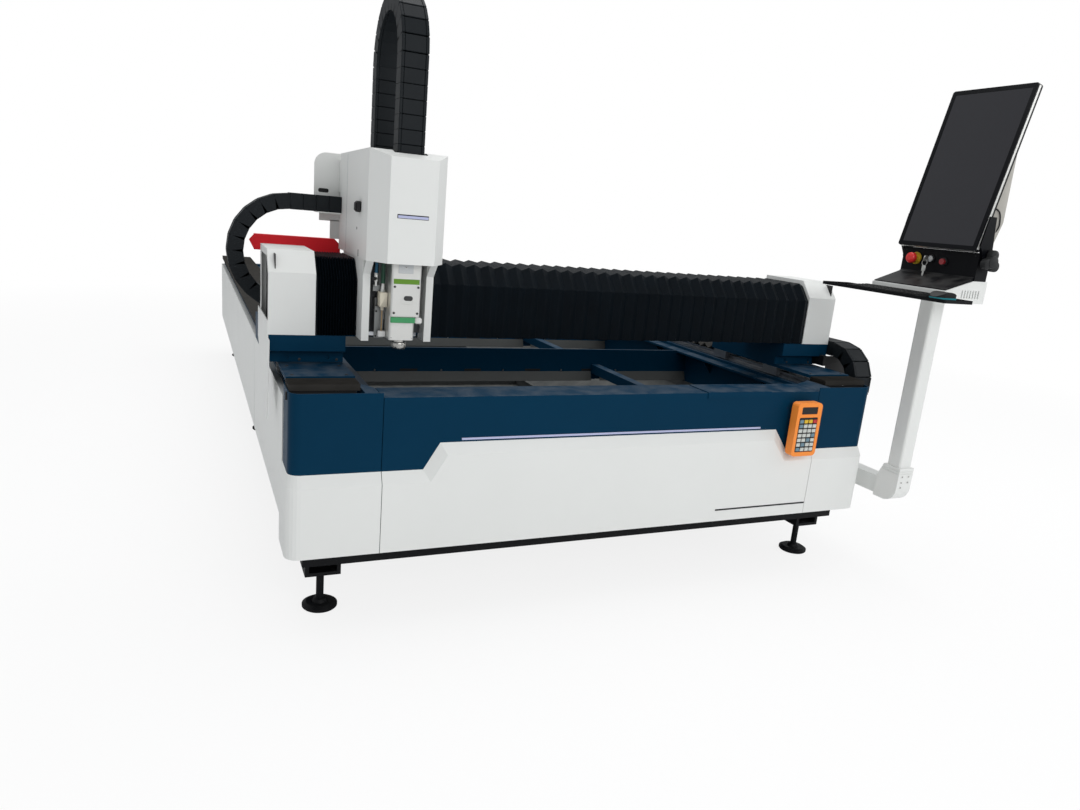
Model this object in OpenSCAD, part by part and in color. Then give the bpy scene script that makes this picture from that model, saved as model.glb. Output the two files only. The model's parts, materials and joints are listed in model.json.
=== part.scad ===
// Gantry laser cutting machine: bed, moving gantry, cutting head and swing-out console.
// Sizes are millimetres. X runs along the beam, Y runs back from the front panel, Z is up.

/* [Bed] */
// Width of the bed over its side panels
bed_w = 2200; // [2000:10:2600]
// Length of the bed from the front panel to the rear end
bed_l = 4400; // [4200:10:5200]
// Height of the base frame above the floor
base_z = 186; // [160:1:230]
// Height of the base frame's steel channel
base_h = 58; // [45:1:80]
// Height of the side beams on the base frame
side_h = 468; // [430:1:520]
// Width of each side beam
side_w = 200; // [180:1:220]
// Wall of the side beams and crossmembers
side_t = 10; // [6:1:16]
// Depth of the side panels outside the beams
panel_d = 20; // [12:1:30]
// Thickness of folded sheet metal
sheet = 3; // [2:0.5:4]
// Height of the corner trays' rims above the side beams
rim_h = 30; // [20:1:40]
// Drop of the centre panel's top below the corner rims
centre_drop = 14; // [8:1:18]
// Width of each front corner tray
corner_w = 268; // [240:1:300]
// Depth of the plate along the top of the front
front_d = 130; // [110:1:150]
// Outside radius of the front's upright corners
front_r = 34; // [20:1:45]
// Width of the shadow gap between front panels
seam = 2; // [1:0.5:4]

/* [Front skirt] */
// Height of the skirt at its low ends
skirt_h = 256; // [220:1:280]
// Rise of the skirt's middle above its ends
skirt_rise = 84; // [50:1:110]
// Distance of the left slope from the bed's left side
skirt_in_l = 397; // [340:1:480]
// Run of the left slope
skirt_run_l = 50; // [30:1:90]
// Distance of the right slope from the bed's right side
skirt_in_r = 386; // [340:1:480]
// Run of the right slope
skirt_run_r = 64; // [30:1:90]
// Stand-off of the skirt from the front panel
skirt_out = 20; // [14:1:30]
// Stand-off of the skirt's side flanges from the bed's sides
skirt_side = 8; // [5:1:14]
// Width of the bevelled band along the skirt's top edge
skirt_band = 36; // [20:1:45]
// Length of the skirt's side flanges
skirt_back = 150; // [120:1:155]

/* [Feet] */
// Distance of each foot from the bed's side
foot_in = 120; // [100:1:150]
// Distance of the end feet from the bed's ends
foot_end = 150; // [110:1:220]
// Diameter of a foot pad
foot_d = 111; // [90:1:130]
// Thickness of a foot pad
foot_t = 18; // [12:1:24]
// Diameter of a foot's threaded stem
stem_d = 24; // [16:1:30]
// Size of a foot bracket
bracket_w = 110; // [90:1:130]
// Height of a foot bracket below the base frame
bracket_h = 56; // [45:1:70]
// Thickness of a foot bracket's plates
bracket_t = 12; // [8:1:16]

/* [Guides and racks] */
// Width of a guide rail
rail_w = 30; // [25:1:35]
// Height of a guide rail
rail_h = 26; // [22:1:30]
// Distance of the bed rails from the bed's sides
rail_in = 170; // [160:1:178]
// Clearance between a rail and its sliding block
rail_clear = 0.5; // [0.3:0.1:1]
// Height of a sliding block above its rail
block_over = 14; // [12:1:20]
// Gap between a sliding block and the rail's seat
block_gap = 6; // [4:1:9]
// Length of a sliding block
block_l = 90; // [70:1:110]
// Width of a sliding block
block_w = 74; // [66:1:80]
// Module of the racks and pinions
gear_m = 5; // [4:0.5:5]
// Number of teeth on a pinion
gear_n = 12; // [10:1:14]
// Backlash between a rack and its pinion
backlash = 0.8; // [0.5:0.1:1.2]
// Distance of the bed racks' pitch lines from the bed's sides
rack_in = 75; // [70:1:80]
// Depth of a rack behind its pitch line
rack_d = 34; // [28:1:40]
// Diameter of a pinion shaft
shaft_d = 22; // [18:1:26]
// Radial clearance around a shaft
shaft_clear = 0.05; // [0.03:0.01:0.09]

/* [Gantry] */
// Travel of the gantry along the bed
gantry_travel = 3050; // [2500:10:3100]
// Distance of the saddles behind the front panel
saddle_y = 302; // [290:1:340]
// Length of a saddle
saddle_l = 480; // [440:1:540]
// Height of a saddle's hollow body
saddle_h = 93; // [80:1:110]
// Overhang of the saddles outside the bed's sides
saddle_out = 28; // [20:1:36]
// Wall of a saddle
saddle_t = 14; // [10:1:18]
// Reach of a saddle's base plate in front of its body
plate_reach = 174; // [150:1:176]
// Thickness of a saddle's base plate
plate_t = 12; // [10:1:16]
// Width of an end cap
cap_w = 140; // [130:1:160]
// Length of an end cap
cap_l = 286; // [276:1:290]
// Height of an end cap
cap_h = 257; // [245:1:290]
// Run of the slope on an end cap's front top edge
cap_run = 54; // [40:1:60]
// Fall of the slope on an end cap's front top edge
cap_fall = 65; // [45:1:70]
// Distance of the beam's front face behind the saddles' front faces
beam_in = 43; // [43:1:50]
// Depth of the beam
beam_d = 215; // [200:1:218]
// Height of the beam
beam_h = 193; // [180:1:200]
// Wall of the beam
beam_t = 8; // [6:1:12]
// Gap between the beam's ends and the end caps
beam_gap = 8; // [4:1:16]
// Depth of the shelf behind the beam
shelf_d = 130; // [126:1:140]
// Thickness of the shelf behind the beam
shelf_t = 7; // [5:1:9]
// Height of the beam's lower rail above the beam's underside
beam_rail_a = 40; // [38:1:46]
// Spacing of the beam's two rails
beam_rail_b = 116; // [108:1:120]
// Pleats of the stretched beam bellows
pleat_n = 32; // [20:1:36]
// Pleats of the packed beam bellows
pleat_few = 8; // [6:1:9]
// Depth of a bellows pleat
pleat_d = 16; // [10:1:18]
// Wall of the bellows
pleat_t = 3; // [2.5:0.1:3.5]
// Set-back of the bellows inside the end caps' outline
bellows_in = 12; // [11:1:14]
// Pitch of the stretched way cover pleats
way_pitch = 60; // [50:1:80]
// Pitch of the packed way cover pleats
way_few = 12; // [10:1:16]

/* [Carriage and head] */
// Distance of the carriage from the left end cap
car_off = 127; // [120:1:150]
// Width of the carriage over its legs
car_w = 223; // [215:1:240]
// Travel of the carriage along the beam
car_travel = 1490; // [1300:10:1490]
// Width of a carriage leg
leg_w = 23; // [18:1:28]
// Depth of a carriage leg
leg_d = 70; // [60:1:72]
// Height of the carriage hood
hood_h = 326; // [300:1:360]
// Reach of the hood's nose in front of the carriage legs
nose_d = 125; // [115:1:140]
// Run of the hood's front chamfers across the front
nose_run = 47; // [35:1:60]
// Depth of the hood's front chamfers
nose_cut = 75; // [55:1:80]
// Fall of the hood's top towards the front
hood_fall = 21; // [10:1:30]
// Overhang of the hood beyond the right leg
hood_over = 10; // [6:1:16]
// Travel of the cutting head
head_travel = 100; // [60:1:110]
// Width of the cutting head's body
head_w = 93; // [85:1:98]
// Depth of the cutting head's body
head_d = 80; // [74:1:84]
// Thickness of the head's slide plate
head_t = 15; // [12:1:18]
// Diameter of the screw that lifts the head
screw_d = 12; // [10:1:14]
// Pull-out of the lens drawer
drawer_out = 50; // [30:1:52]

/* [Cable chains] */
// Width of the beam's cable chain
bchain_w = 82; // [70:1:86]
// Thickness of the beam's cable chain
bchain_t = 54; // [46:1:58]
// Outer radius of the beam chain's loop
bchain_r = 200; // [190:1:210]
// Thickness of the head's cable chain
zchain_t = 55; // [46:1:58]
// Width of the head's cable chain
zchain_w = 81; // [70:1:84]
// Outer radius of the head chain's loop
zchain_r = 192; // [185:1:200]
// Height of the head chain's loop centre
zchain_z = 1703; // [1650:1:1750]
// Width of the bed's cable chain
mchain_w = 90; // [80:1:100]
// Thickness of the bed's cable chain
mchain_t = 60; // [50:1:64]
// Outer radius of the bed chain's loop
mchain_r = 153; // [145:1:165]
// Overhang of the beam chain loop outside the bed side
bchain_over = 134; // [120:1:160]
// Height of the tray under the bed chain
mchain_z = 567; // [540:1:600]
// Distance of the bed chain loop behind the front panel
mchain_y = 120; // [100:1:150]
// Pitch of the chain links
link_p = 62; // [50:1:75]
// Gap between chain links
link_g = 5; // [3:0.5:8]

/* [Console] */
// Distance of the console post outside the bed's side
post_off = 130; // [120:1:160]
// Distance of the console post in front of the front panel
post_y = 85; // [70:1:110]
// Distance of the arm's hinge behind the front panel
hinge_y = 700; // [620:1:780]
// Height of the swing arm's underside
arm_z = 305; // [280:1:340]
// Height of the swing arm's tube
arm_h = 70; // [60:1:80]
// Width of the swing arm's tube
arm_w = 60; // [50:1:66]
// Diameter of the arm's hinge pin
hinge_d = 30; // [24:1:36]
// Width of the square post
post_w = 64; // [56:1:70]
// Height of the post's top above the floor
post_top = 1100; // [1050:1:1150]
// Width of the console base across the screen
desk_w = 330; // [310:1:350]
// Depth of the console base
desk_d = 206; // [190:1:230]
// Height of the console base
desk_h = 80; // [72:1:95]
// Length of the keyboard tray
tray_w = 570; // [520:1:600]
// Depth of the keyboard tray
tray_d = 140; // [130:1:160]
// Height of the control box
cbox_h = 100; // [92:1:110]
// Depth of the control box
cbox_d = 60; // [55:1:66]
// Width of the monitor
mon_w = 340; // [320:1:344]
// Height of the monitor
mon_h = 594; // [540:1:620]
// Thickness of the monitor's frame
mon_t = 24; // [20:1:28]
// Width of the monitor's bezel
mon_bezel = 16; // [12:1:22]
// Lean of the monitor at rest
mon_lean = 13.4; // [10:0.1:16]

/* [Output] */
// Piece to draw, or all of them

/* [Hidden] */
$fn = 48;
// Colours of the finishes
navy = [0.03, 0.13, 0.27];
white = [0.92, 0.92, 0.92];
black = [0.04, 0.04, 0.05];
steel = [0.6, 0.62, 0.65];
// Heights of the bed
base_top = base_z + base_h;
seat_z = base_top + side_h;
corner_top = seat_z + rim_h;
centre_top = corner_top - centre_drop;
// Half widths of the bed
bx = bed_w / 2;
beam_out = bx - panel_d;
beam_inn = beam_out - side_w;
foot_x = bx - foot_in;
foot_ys = [foot_end, bed_l / 2, bed_l - foot_end];
// Guides
rail_x = bx - rail_in;
rail_y0 = front_d + 20;
rail_top = seat_z + rail_h;
gear_r = gear_m * gear_n / 2;
gear_p = PI * gear_m;
rack_add = 0.65 * gear_m;
rack_ded = 1.25 * gear_m;
rack_x = bx - rack_in;
pin_x = rack_x + gear_r;
pin_y = saddle_y + cap_l / 2;
// Gantry
plate_z = rail_top + block_over;
plate_top = plate_z + plate_t;
saddle_top = plate_top + saddle_h;
plate_y = saddle_y - plate_reach;
saddle_back = saddle_y + saddle_l;
saddle_in = rail_x - block_w / 2;
way_edge = bx - 4;
cap_out = bx + saddle_out;
cap_in = cap_out - cap_w;
cap_top = saddle_top + cap_h;
beam_x = cap_in - beam_gap;
beam_y = saddle_y + beam_in;
beam_back = beam_y + beam_d;
beam_top = saddle_top + beam_h;
shelf_z = saddle_top + 21;
shelf_top = shelf_z + shelf_t;
shelf_back = beam_back + shelf_d;
brail_z = [saddle_top + beam_rail_a, saddle_top + beam_rail_a + beam_rail_b];
brack_y = beam_y + 95;
cpin_y = brack_y + gear_r;
rack_h = rail_h - 4;
// Bellows outline, drawn at a distance from the zero plane
far = 4096;
bel_y = saddle_y - 7;
bel_top = cap_top - bellows_in;
bel_cut = bel_top - cap_fall;
// Carriage
car_x = -cap_in + car_off;
car_x2 = car_x + car_w;
car_mid = (car_x + car_x2) / 2;
hood_z = bel_top + 7;
hood_top = hood_z + hood_h;
hood_back = beam_back + 80;
block_y = beam_y - rail_h - block_over;
cplate_t = 30;
cplate_y = block_y - cplate_t;
top_z = hood_z + 11;
top_t = 15;
zrail_h = 16;
zrail_w = 20;
zrail_x = 50;
head_back = cplate_y - zrail_h - 12;
hplate_y = head_back - head_t;
head_y = hplate_y - head_d;
leg_y = cplate_y - 55;
hood_y = leg_y - nose_d;
head_x = car_mid + 8;
head_z = saddle_top + 88;
head_top = top_z - 5;
screw_y = cplate_y - zrail_h + 2;
hlow_z = saddle_top + 14;
drawer_z = head_z - 12;
// Chains
bchain_y = shelf_back - 10 - bchain_w;
bchain_cx = -(bx + bchain_over) + bchain_r;
bchain_cz = shelf_top + bchain_r;
zchain_x = head_x - 5;
zchain_cy = head_y + zchain_r;
mchain_x = cap_out + 4;
mchain_cy = mchain_y + mchain_r;
mchain_cz = mchain_z + mchain_r;
mchain_end = saddle_y + 160;
mchain_fix = bed_l / 2 - 200;
// Console
post_x = bx + post_off;
desk_z = post_top + 10;
desk_top = desk_z + desk_h;
desk_x = post_x - 150;
desk_y0 = -post_y - desk_w / 2;
desk_y1 = -post_y + desk_w / 2;
tray_z = desk_z + 8;
cbox_x = desk_x + 135;
cbox_top = desk_top + cbox_h;
mon_x = cbox_x - 34;
mon_z = cbox_top + 6;
tilt_x = cbox_x + 30;
tilt_z = desk_top + 72;
back_d = 55;
back_u0 = 90;
back_u1 = mon_h - 54;
elbow_z = arm_z - 8;
elbow_r = 60;
elbow_y = -post_y - 40;
elbow_back = -post_y + 65;
post_z = arm_z + 135;
// Middle of the whole machine's plan
x_lo = -(bx + bchain_over);
x_hi = mon_x + max(mon_h * sin(mon_lean) + mon_t * cos(mon_lean),
  back_u1 * sin(mon_lean) + (mon_t + back_d) * cos(mon_lean));
y_lo = -post_y - tray_w / 2;
y_hi = bed_l;

// Block between two corners
module box(x0, x1, y0, y1, z0, z1) {
  translate([x0, y0, z0]) cube([x1 - x0, y1 - y0, z1 - z0]);
}

// Side outline in y and z, pulled along x
module along_x(x0, x1) {
  translate([x0, 0, 0]) rotate([90, 0, 90]) linear_extrude(x1 - x0) children();
}

// Front outline in x and z, pulled along y
module along_y(y0, y1) {
  translate([0, y1, 0]) rotate([90, 0, 0]) linear_extrude(y1 - y0) children();
}

// Plan outline in x and y, pulled up
module along_z(z0, z1) {
  translate([0, 0, z0]) linear_extrude(z1 - z0) children();
}

// A piece and its mirror image on the other side of the bed
module both() {
  children();
  mirror([1, 0, 0]) children();
}

// Rectangle with round corners
module rrect(x0, x1, y0, y1, r) {
  translate([x0 + r, y0]) square([x1 - x0 - 2 * r, y1 - y0]);
  translate([x0, y0 + r]) square([x1 - x0, y1 - y0 - 2 * r]);
  for (x = [x0 + r, x1 - r], y = [y0 + r, y1 - r]) translate([x, y]) circle(r);
}

// Upright round bar
module rod_z(x, y, z0, z1, d) {
  translate([x, y, z0]) cylinder(h = z1 - z0, d = d);
}

// Round bar along x
module rod_x(x0, x1, y, z, d) {
  translate([x0, y, z]) rotate([0, 90, 0]) cylinder(h = x1 - x0, d = d);
}

// Round bar along y
module rod_y(x, y0, y1, z, d) {
  translate([x, y1, z]) rotate([90, 0, 0]) cylinder(h = y1 - y0, d = d);
}

// Involute half thickness of a pinion tooth at radius r, in degrees
function inv(a) = tan(a) * 180 / PI - a;
function tooth_a(r) = 90 / gear_n + inv(20) - inv(acos(min(1, gear_r * cos(20) / r)))
  - backlash / 4 / gear_r * 180 / PI;

// Pinion outline with its first tooth along x
module pinion2d() {
  rs = [gear_r - rack_ded, gear_r * cos(20), gear_r, gear_r + 0.5 * gear_m, gear_r + gear_m];
  polygon([for (k = [0 : gear_n - 1]) each concat(
    [for (r = rs) let (a = k * 360 / gear_n - tooth_a(r)) r * [cos(a), sin(a)]],
    [for (i = [4 : -1 : 0]) let (r = rs[i], a = k * 360 / gear_n + tooth_a(r)) r * [cos(a), sin(a)]])]);
}

// Rack outline with n teeth along x, pitch line on the x axis and teeth towards y
module rack2d(n) {
  h = (gear_p / 2 - backlash) / 2;
  polygon(concat([[0, -rack_d], [0, -rack_ded]],
    [for (k = [0 : n - 1]) each let (c = (k + 0.5) * gear_p) [
      [c - h - rack_ded * tan(20), -rack_ded], [c - h + rack_add * tan(20), rack_add],
      [c + h - rack_add * tan(20), rack_add], [c + h + rack_ded * tan(20), -rack_ded]]],
    [[n * gear_p, -rack_ded], [n * gear_p, -rack_d]]));
}

// Cable chain outline: loop at the origin, a run below and a run above towards +x
module chain2d(r, t, low, up) {
  c = r - t / 2;
  na = round(PI * c / link_p);
  nl = max(1, round(low / link_p));
  nu = max(1, round(up / link_p));
  for (i = [0 : nl - 1]) {
    translate([i * low / nl + link_g / 2, -r]) square([low / nl - link_g, t]);
  }
  for (i = [0 : nu - 1]) {
    translate([i * up / nu + link_g / 2, r - t]) square([up / nu - link_g, t]);
  }
  for (i = [0 : na - 1]) {
    rotate(90 + (i + 0.5) * 180 / na) translate([c, 0]) square([t, PI * c / na - link_g], center = true);
  }
  translate([0, -c - t / 4]) square([low, t / 2]);
  translate([0, c - t / 4]) square([up, t / 2]);
  difference() {
    circle(c + t / 4);
    circle(c - t / 4);
    translate([0, -2 * r]) square([2 * r, 4 * r]);
  }
}

// Bent steel channel round the bottom of the bed, with a bracket over each foot
module base_frame() {
  o = bx - 50;
  color(black) {
    difference() {
      box(-o, o, 50, bed_l - 50, base_z, base_top);
      box(-o + 70, o - 70, 120, bed_l - 120, base_z - 1, base_top + 1);
      box(-o + 8, o - 8, 58, bed_l - 58, base_z + 8, base_top - 8);
    }
    for (y = [bed_l / 3, bed_l / 2, bed_l * 2 / 3]) {
      difference() {
        box(-o + 70, o - 70, y - 40, y + 40, base_z, base_top);
        box(-o, o, y - 32, y + 41, base_z + 8, base_top - 8);
      }
    }
    for (y = foot_ys) {
      both() foot_bracket(foot_x, y);
    }
  }
}

// Open box bracket that carries one foot
module foot_bracket(x, y) {
  w = bracket_w / 2;
  z0 = base_z - bracket_h;
  difference() {
    box(x - w, x + w, y - w, y + w, z0, base_z);
    box(x - w + bracket_t, x + w - bracket_t, y - w - 1, y + w + 1, z0 + bracket_t, base_z + 1);
    rod_z(x, y, z0 - 1, base_z, stem_d + 1);
  }
}

// Round pads on threaded stems, locked to their brackets by nuts
module levelling_feet() {
  z0 = base_z - bracket_h;
  color(black) for (y = foot_ys, s = [-1, 1]) {
    translate([s * foot_x, y, 0]) {
      rotate_extrude() polygon([[0, 0], [foot_d / 2 - 3, 0], [foot_d / 2, 3], [foot_d / 2, foot_t * 0.6],
        [foot_d / 2 - 12, foot_t], [stem_d, foot_t], [stem_d * 0.8, foot_t + 10], [stem_d / 2, foot_t + 14],
        [stem_d / 2, base_z - 4], [0, base_z - 4]]);
      translate([0, 0, z0 - 16]) cylinder(h = 16, d = stem_d * 1.7, $fn = 6);
      translate([0, 0, z0 + bracket_t]) cylinder(h = 14, d = stem_d * 1.7, $fn = 6);
    }
  }
}

// Welded side beams and crossmembers
module bed_frame() {
  c = side_t;
  color(navy) {
    both() difference() {
      box(beam_inn, beam_out, 40, bed_l - 40, base_top, seat_z);
      box(beam_inn + c, beam_out - c, 39, bed_l - 39, base_top + c, seat_z - c);
    }
    for (y = [40, bed_l - 120]) {
      difference() {
        box(-beam_inn, beam_inn, y, y + 80, base_top + 60, seat_z);
        box(-beam_inn - 1, beam_inn + 1, y + c, y + 80 - c, base_top + 60 + c, seat_z - c);
      }
    }
    box(-(bx - corner_w - 12), bx - corner_w - 12, 40, 120, seat_z - 1, centre_top - sheet);
    for (y = [bed_l / 4, bed_l / 2, bed_l * 3 / 4]) {
      difference() {
        box(-beam_inn, beam_inn, y - 40, y + 40, base_top, base_top + 60);
        box(-beam_inn - 1, beam_inn + 1, y - 40 + c, y + 41, base_top + c, base_top + 60 - c);
      }
    }
  }
}

// One front corner: folded wall, tray floor and ramped inner rim
module front_corner() {
  x1 = bx - corner_w + seam / 2;
  ramp = saddle_in - 6;
  along_z(base_top, corner_top) difference() {
    union() {
      translate([x1, 0]) square([bx - front_r - x1, front_d]);
      translate([x1, front_r]) square([bx - x1, front_d - front_r]);
      translate([bx - front_r, front_r]) circle(front_r);
    }
    translate([x1 - 1, sheet]) square([bx - front_r - x1 + 1, front_d]);
    translate([x1 - 1, front_r]) square([bx - sheet - x1 + 1, front_d]);
    translate([bx - front_r, front_r]) circle(front_r - sheet);
  }
  difference() {
    box(x1, bx - sheet, sheet, front_d - 3, seat_z, seat_z + sheet);
    difference() {
      box(bx - front_r, bx, 0, front_r, seat_z - 1, seat_z + sheet + 1);
      rod_z(bx - front_r, front_r, seat_z - 2, seat_z + sheet + 2, 2 * (front_r - sheet / 2));
    }
  }
  along_y(sheet, front_d - 3) difference() {
    polygon([[x1, seat_z + sheet], [x1, centre_top], [ramp - 3, corner_top], [ramp, corner_top],
      [ramp, seat_z + sheet]]);
    polygon([[x1 + sheet, seat_z], [x1 + sheet, centre_top - sheet], [ramp - sheet, corner_top - sheet - 1],
      [ramp - sheet, seat_z]]);
  }
}

// Blue front: two corner trays and the centre panel with its top plate
module front_panels() {
  xc = bx - corner_w - seam / 2;
  color(navy) {
    both() front_corner();
    box(-xc, xc, 0, sheet, base_top, centre_top);
    box(-xc, xc, 0, front_d, centre_top - sheet, centre_top);
    box(-xc, xc, front_d - sheet, front_d, centre_top - 40, centre_top);
  }
}

// One section of the skirt: wall foot o, band edge t on the panel, inward direction u, height h, mitre m
function skirt_sec(o, t, u, h, m) = let (i = o + sheet * u) [
  [o[0], o[1], base_top], [o[0] + m, o[1], h - skirt_band], [t[0], t[1], h], [t[0], t[1], h - 2 * sheet],
  [i[0] + m, i[1], h - skirt_band - sheet / 2], [i[0], i[1], base_top]];

// Section at place x of the skirt's straight front
function skirt_front(x, h, m) = skirt_sec([x, -skirt_out], [x, 0], [0, 1], h, m);

// Folded shell through a row of sections
module skirt_shell(secs) {
  m = len(secs) - 1;
  polyhedron([for (r = secs) each r],
    concat([[for (j = [5 : -1 : 0]) j]], [[for (j = [0 : 5]) 6 * m + j]],
    [for (i = [0 : m - 1], j = [0 : 5]) let (k = (j + 1) % 6) [6 * i + j, 6 * i + k, 6 * i + 6 + k,
      6 * i + 6 + j]]));
}

// White skirt in front of the blue panel, in three lengths
module front_skirts() {
  lo = base_top + skirt_h;
  hi = lo + skirt_rise;
  xs = bx - corner_w;
  r = front_r + skirt_side;
  rt = front_r / cos(7.5) + 0.02;
  xo = bx + skirt_side - r;
  yo = -skirt_out + r;
  ml = tan(atan2(skirt_rise, skirt_run_l) / 2) * skirt_band;
  mr = tan(atan2(skirt_rise, skirt_run_r) / 2) * skirt_band;
  color(white) {
    skirt_shell([skirt_front(-xs + seam / 2, lo, 0), skirt_front(-bx + skirt_in_l, lo, ml),
      skirt_front(-bx + skirt_in_l + skirt_run_l, hi, ml), skirt_front(bx - skirt_in_r - skirt_run_r, hi, -mr),
      skirt_front(bx - skirt_in_r, lo, -mr), skirt_front(xs - seam / 2, lo, 0)]);
    both() skirt_shell(concat([skirt_front(xs + seam / 2, lo, 0)],
      [for (a = [90 : -15 : 0]) skirt_sec([xo + r * cos(a), yo - r * sin(a)],
        [bx - front_r + rt * cos(a), front_r - rt * sin(a)], [-cos(a), sin(a)], lo, 0)],
      [skirt_sec([bx + skirt_side, skirt_back], [bx, skirt_back], [-1, 0], lo, 0)]));
  }
}

// Folded lid over the reel space in the front's top plate
module access_lid() {
  x0 = 320;
  x1 = 600;
  color(navy) {
    box(x0, x1, -sheet, front_d - 10, centre_top, centre_top + sheet);
    box(x0, x1, -sheet, 0, centre_top - 20, centre_top);
  }
}

// Bed guide rails with bolt holes along their tops
module bed_rails() {
  color(steel) both() difference() {
    along_y(rail_y0, bed_l - 60) rail2d(rail_x, seat_z);
    for (y = [rail_y0 + 40 : 240 : bed_l - 100]) {
      rod_z(rail_x, y, rail_top - 10, rail_top + 1, 14);
    }
  }
}

// Waisted rail outline standing at x on height z
module rail2d(x, z) {
  w = rail_w / 2;
  polygon([[x - w, z], [x + w, z], [x + w, z + rail_h * 0.35], [x + w - 4, z + rail_h * 0.55],
    [x + w, z + rail_h * 0.75], [x + w, z + rail_h - 1], [x + w - 1, z + rail_h], [x - w + 1, z + rail_h],
    [x - w, z + rail_h - 1], [x - w, z + rail_h * 0.75], [x - w + 4, z + rail_h * 0.55],
    [x - w, z + rail_h * 0.35]]);
}

// Toothed racks beside the bed rails
module bed_racks() {
  n = ceil((gantry_travel + 120) / gear_p / 2) * 2;
  color(steel) both() {
    translate([rack_x, pin_y - 4 * gear_p, 0]) along_z(seat_z, rail_top) mirror([1, -1, 0]) rack2d(n);
  }
}

// Pleated covers over the rails, in front of the saddles and behind them
module way_covers() {
  color(black) both() along_x(saddle_in + 1, way_edge) {
    zigzag(front_r, plate_y, way_few);
    mirror([1, 0]) zigzag(-(bed_l - 62), -saddle_back, way_pitch);
  }
}

// Zigzag strip from y0 to y1, high at y1
module zigzag(y0, y1, pitch) {
  n = max(1, round((y1 - y0) / pitch));
  p = (y1 - y0) / n / 2;
  hi = plate_top - 2;
  lo = rail_top + 4;
  polygon(concat([for (i = [0 : 2 * n]) [y1 - i * p, i % 2 == 0 ? hi : lo]],
    [for (i = [2 * n : -1 : 0]) [y1 - i * p, (i % 2 == 0 ? hi : lo) - 3]]));
}

// Walls and ledges inside the trough
module trough_frame() {
  n = 4;
  z0 = seat_z - 152;
  z1 = seat_z - 12;
  color(navy) {
    box(360, 400, 120, bed_l - 120, z0 + 30, z0 + 70);
    for (k = [1 : n]) {
      y = front_d + k * (bed_l - 2 * front_d) / (n + 1);
      difference() {
        box(-beam_inn, beam_inn, y, y + 10, z0, z1);
        for (x = [-780 : 120 : 780]) box(x - 35, x + 35, y - 1, y + 11, z0 - 1, z0 + 26);
        both() box(beam_inn - 62, beam_inn + 1, y - 1, y + 11, z1 - 10, z1 + 1);
      }
    }
    both() {
      box(beam_inn - 60, beam_inn, front_d + 10, bed_l - front_d - 10, z1 - 8, z1);
      for (y = [front_d + 200 : 420 : bed_l - front_d - 200]) {
        along_y(y, y + 8) polygon([[beam_inn, z1 - 8], [beam_inn - 50, z1 - 8], [beam_inn, z1 - 70]]);
      }
    }
  }
}

// Sloped sheets that carry cut scrap to the middle of the trough
module scrap_chutes() {
  z1 = seat_z - 160;
  z0 = base_top + 62;
  color(steel) both() along_y(front_d + 10, bed_l - front_d - 10) {
    polygon([[beam_inn, z1], [beam_inn, z1 - 40], [beam_inn - 4, z1 - 40], [beam_inn - 380, z0],
      [beam_inn - 400, z0], [beam_inn - 400, z0 + 4], [beam_inn - 381, z0 + 4], [beam_inn - 4, z1 - 35],
      [beam_inn - 4, z1]]);
  }
}

// Folded sheets along the sides and across the rear
module bed_panels() {
  n = 4;
  y0 = skirt_back + 10;
  l = (bed_l - 40 - y0) / n;
  color(white) {
    both() for (k = [0 : n - 1]) {
      difference() {
        box(beam_out, bx, y0 + k * l, y0 + (k + 1) * l - 6, base_top + 56, seat_z - 12);
        box(beam_out - 1, bx - sheet, y0 + k * l + sheet, y0 + (k + 1) * l - 6 - sheet,
          base_top + 56 + sheet, seat_z - 12 - sheet);
      }
    }
    difference() {
      box(-beam_out, beam_out, bed_l - 40, bed_l, base_top + 10, seat_z - 12);
      box(-beam_out + sheet, beam_out - sheet, bed_l - 41, bed_l - sheet, base_top + 10 + sheet,
        seat_z - 12 - sheet);
    }
  }
}

// Linked cable chain beside the bed that feeds the gantry
module main_chain() {
  color(black) translate([0, mchain_cy, mchain_cz]) along_x(mchain_x, mchain_x + mchain_w) {
    chain2d(mchain_r, mchain_t, mchain_fix - mchain_cy, mchain_end - mchain_cy);
  }
}

// Folded tray under the bed chain, on brackets from the side panels
module main_chain_tray() {
  y0 = mchain_cy + 2;
  y1 = mchain_fix + gantry_travel * 0.45;
  color(black) {
    along_y(y0, y1) difference() {
      translate([mchain_x - 5, mchain_z - sheet]) square([mchain_w + 10, 40]);
      translate([mchain_x - 5 + sheet, mchain_z]) square([mchain_w + 10 - 2 * sheet, 60]);
    }
    for (y = [y0 + 60 : 500 : y1]) {
      along_y(y, y + 8) polygon([[bx, mchain_z - sheet], [mchain_x + mchain_w, mchain_z - sheet],
        [mchain_x + mchain_w, mchain_z - sheet - 16], [bx, mchain_z - sheet - 80]]);
    }
  }
}

// Hand control in its holder on the front panel
module pendant() {
  x0 = bx - 410;
  x1 = x0 + 115;
  z0 = base_top + skirt_h - 7;
  color([0.95, 0.45, 0.05]) {
    difference() {
      along_y(-56, -skirt_out - 2) rrect(x0, x1, z0, z0 + 205, 16);
      along_y(-57, -54) rrect(x0 + 14, x1 - 14, z0 + 16, z0 + 150, 5);
      along_y(-57, -54) rrect(x0 + 20, x1 - 20, z0 + 162, z0 + 190, 4);
    }
    for (i = [0 : 3], j = [0 : 6]) {
      box(x0 + 18 + i * 21, x0 + 34 + i * 21, -57, -54, z0 + 21 + j * 18, z0 + 33 + j * 18);
    }
    box(x0 + 20, x1 - 20, -skirt_out - 2, 0, z0 + 80, z0 + 180);
  }
}

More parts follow.
